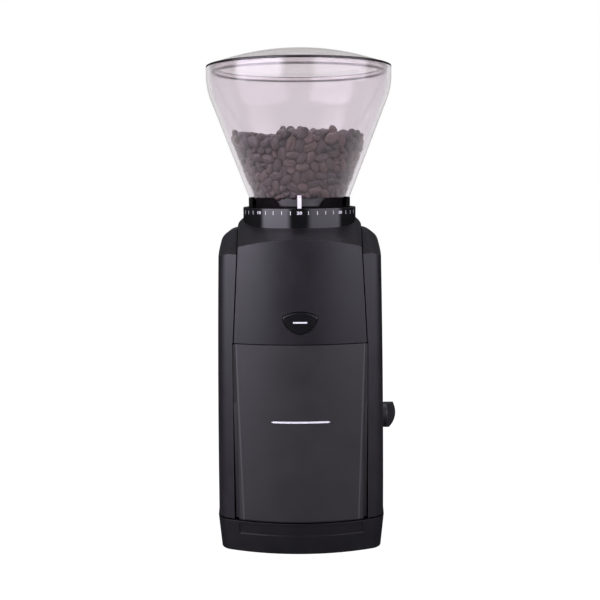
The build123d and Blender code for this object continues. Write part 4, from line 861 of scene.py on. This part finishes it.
def numeral(text, angle):
    """A printed number on the scale ring, from the built-in font, wrapped round it."""
    curve = bpy.data.curves.new("numeral", "FONT")
    curve.body = text
    curve.size = NUMERAL_SIZE
    curve.align_x = "CENTER"
    curve.align_y = "CENTER"
    curve.resolution_u = 3
    curve.offset = NUMERAL_BOLD
    written = bpy.data.objects.new("numeral", curve)
    scene.collection.objects.link(written)
    bpy.context.view_layer.update()
    flat = bpy.data.meshes.new_from_object(written.evaluated_get(bpy.context.evaluated_depsgraph_get()))
    place = on_cylinder(RING_FACE, angle)
    points = [place(NUMERAL_STRETCH * v.co.x, MARK_MIDDLE + v.co.y) for v in flat.vertices]
    faces = [tuple(polygon.vertices) for polygon in flat.polygons]
    bpy.data.objects.remove(written)
    bpy.data.curves.remove(curve)
    bpy.data.meshes.remove(flat)
    return points, faces


def scale_marks():
    """Numbers 0 to 40 and a tick at every second step between them."""
    marks = []
    half = LAST_SETTING / 2
    for step in range(0, LAST_SETTING + 1, TICK_STEP):
        angle = RING_TURN * (step - half) / half
        if step % NUMERAL_STEP == 0:
            marks.append(numeral(str(step), angle))
        else:
            low = (-TICK_HALF, MARK_MIDDLE - TICK_HEIGHT / 2)
            high = (TICK_HALF, MARK_MIDDLE + TICK_HEIGHT / 2)
            marks.append(patch(low, high, on_cylinder(RING_FACE, angle)))
    return joined(marks)


mesh_piece("scale_marks", *scale_marks(), ink, "housing", smooth=False)

NECK_RADIUS = 0.0367
INDEX_HALF, INDEX_FOOT, INDEX_TOP = 0.0014, 0.2352, 0.2452
index = patch((-INDEX_HALF, INDEX_FOOT), (INDEX_HALF, INDEX_TOP), on_cylinder(NECK_RADIUS + INK_PROUD), 4, 1)
mesh_piece("index_line", *index, ink, "hopper")


AHEAD = 0.3  # well in front of the whole object


def front_surface(node, reach):
    """Maps x and height to just in front of a CAD node's front face."""
    target = NODES[node]

    def place(x, z):
        hit, where, _, _ = target.ray_cast(Vector((x, -AHEAD, z)), Vector((0, 1, 0)))
        if not hit:
            raise RuntimeError(f"no front face of {node} at {x}, {z}")
        return (x, where.y - reach, z)
    return place


BAR_COLUMNS, BAR_END = 24, 0.25  # steps along a bar, and how thick its very ends are


def rounded_bar(half, middle, thick, place):
    """A printed bar with round ends."""
    points, faces = [], []
    for column in range(BAR_COLUMNS + 1):
        x = -half + 2 * half * column / BAR_COLUMNS
        end = max(0.0, abs(x) - (half - thick / 2))
        rise = math.sqrt(max((thick / 2) ** 2 - end ** 2, (BAR_END * thick / 2) ** 2))
        points += [place(x, middle - rise), place(x, middle + rise)]
    for column in range(BAR_COLUMNS):
        corner = 2 * column
        faces.append((corner, corner + 2, corner + 3, corner + 1))
    return points, faces


BIN_LINE = (0.0200, 0.0928, 0.00125)  # half-length, height of its middle and thickness, in metres
BUTTON_LINE = (0.0049, 0.1611, 0.00105)
mesh_piece("bin_line", *rounded_bar(*BIN_LINE, front_surface("grounds_bin", INK_PROUD)), ink, "bin")
mesh_piece("button_line", *rounded_bar(*BUTTON_LINE, front_surface("pulse_button", INK_PROUD)), ink, "button")
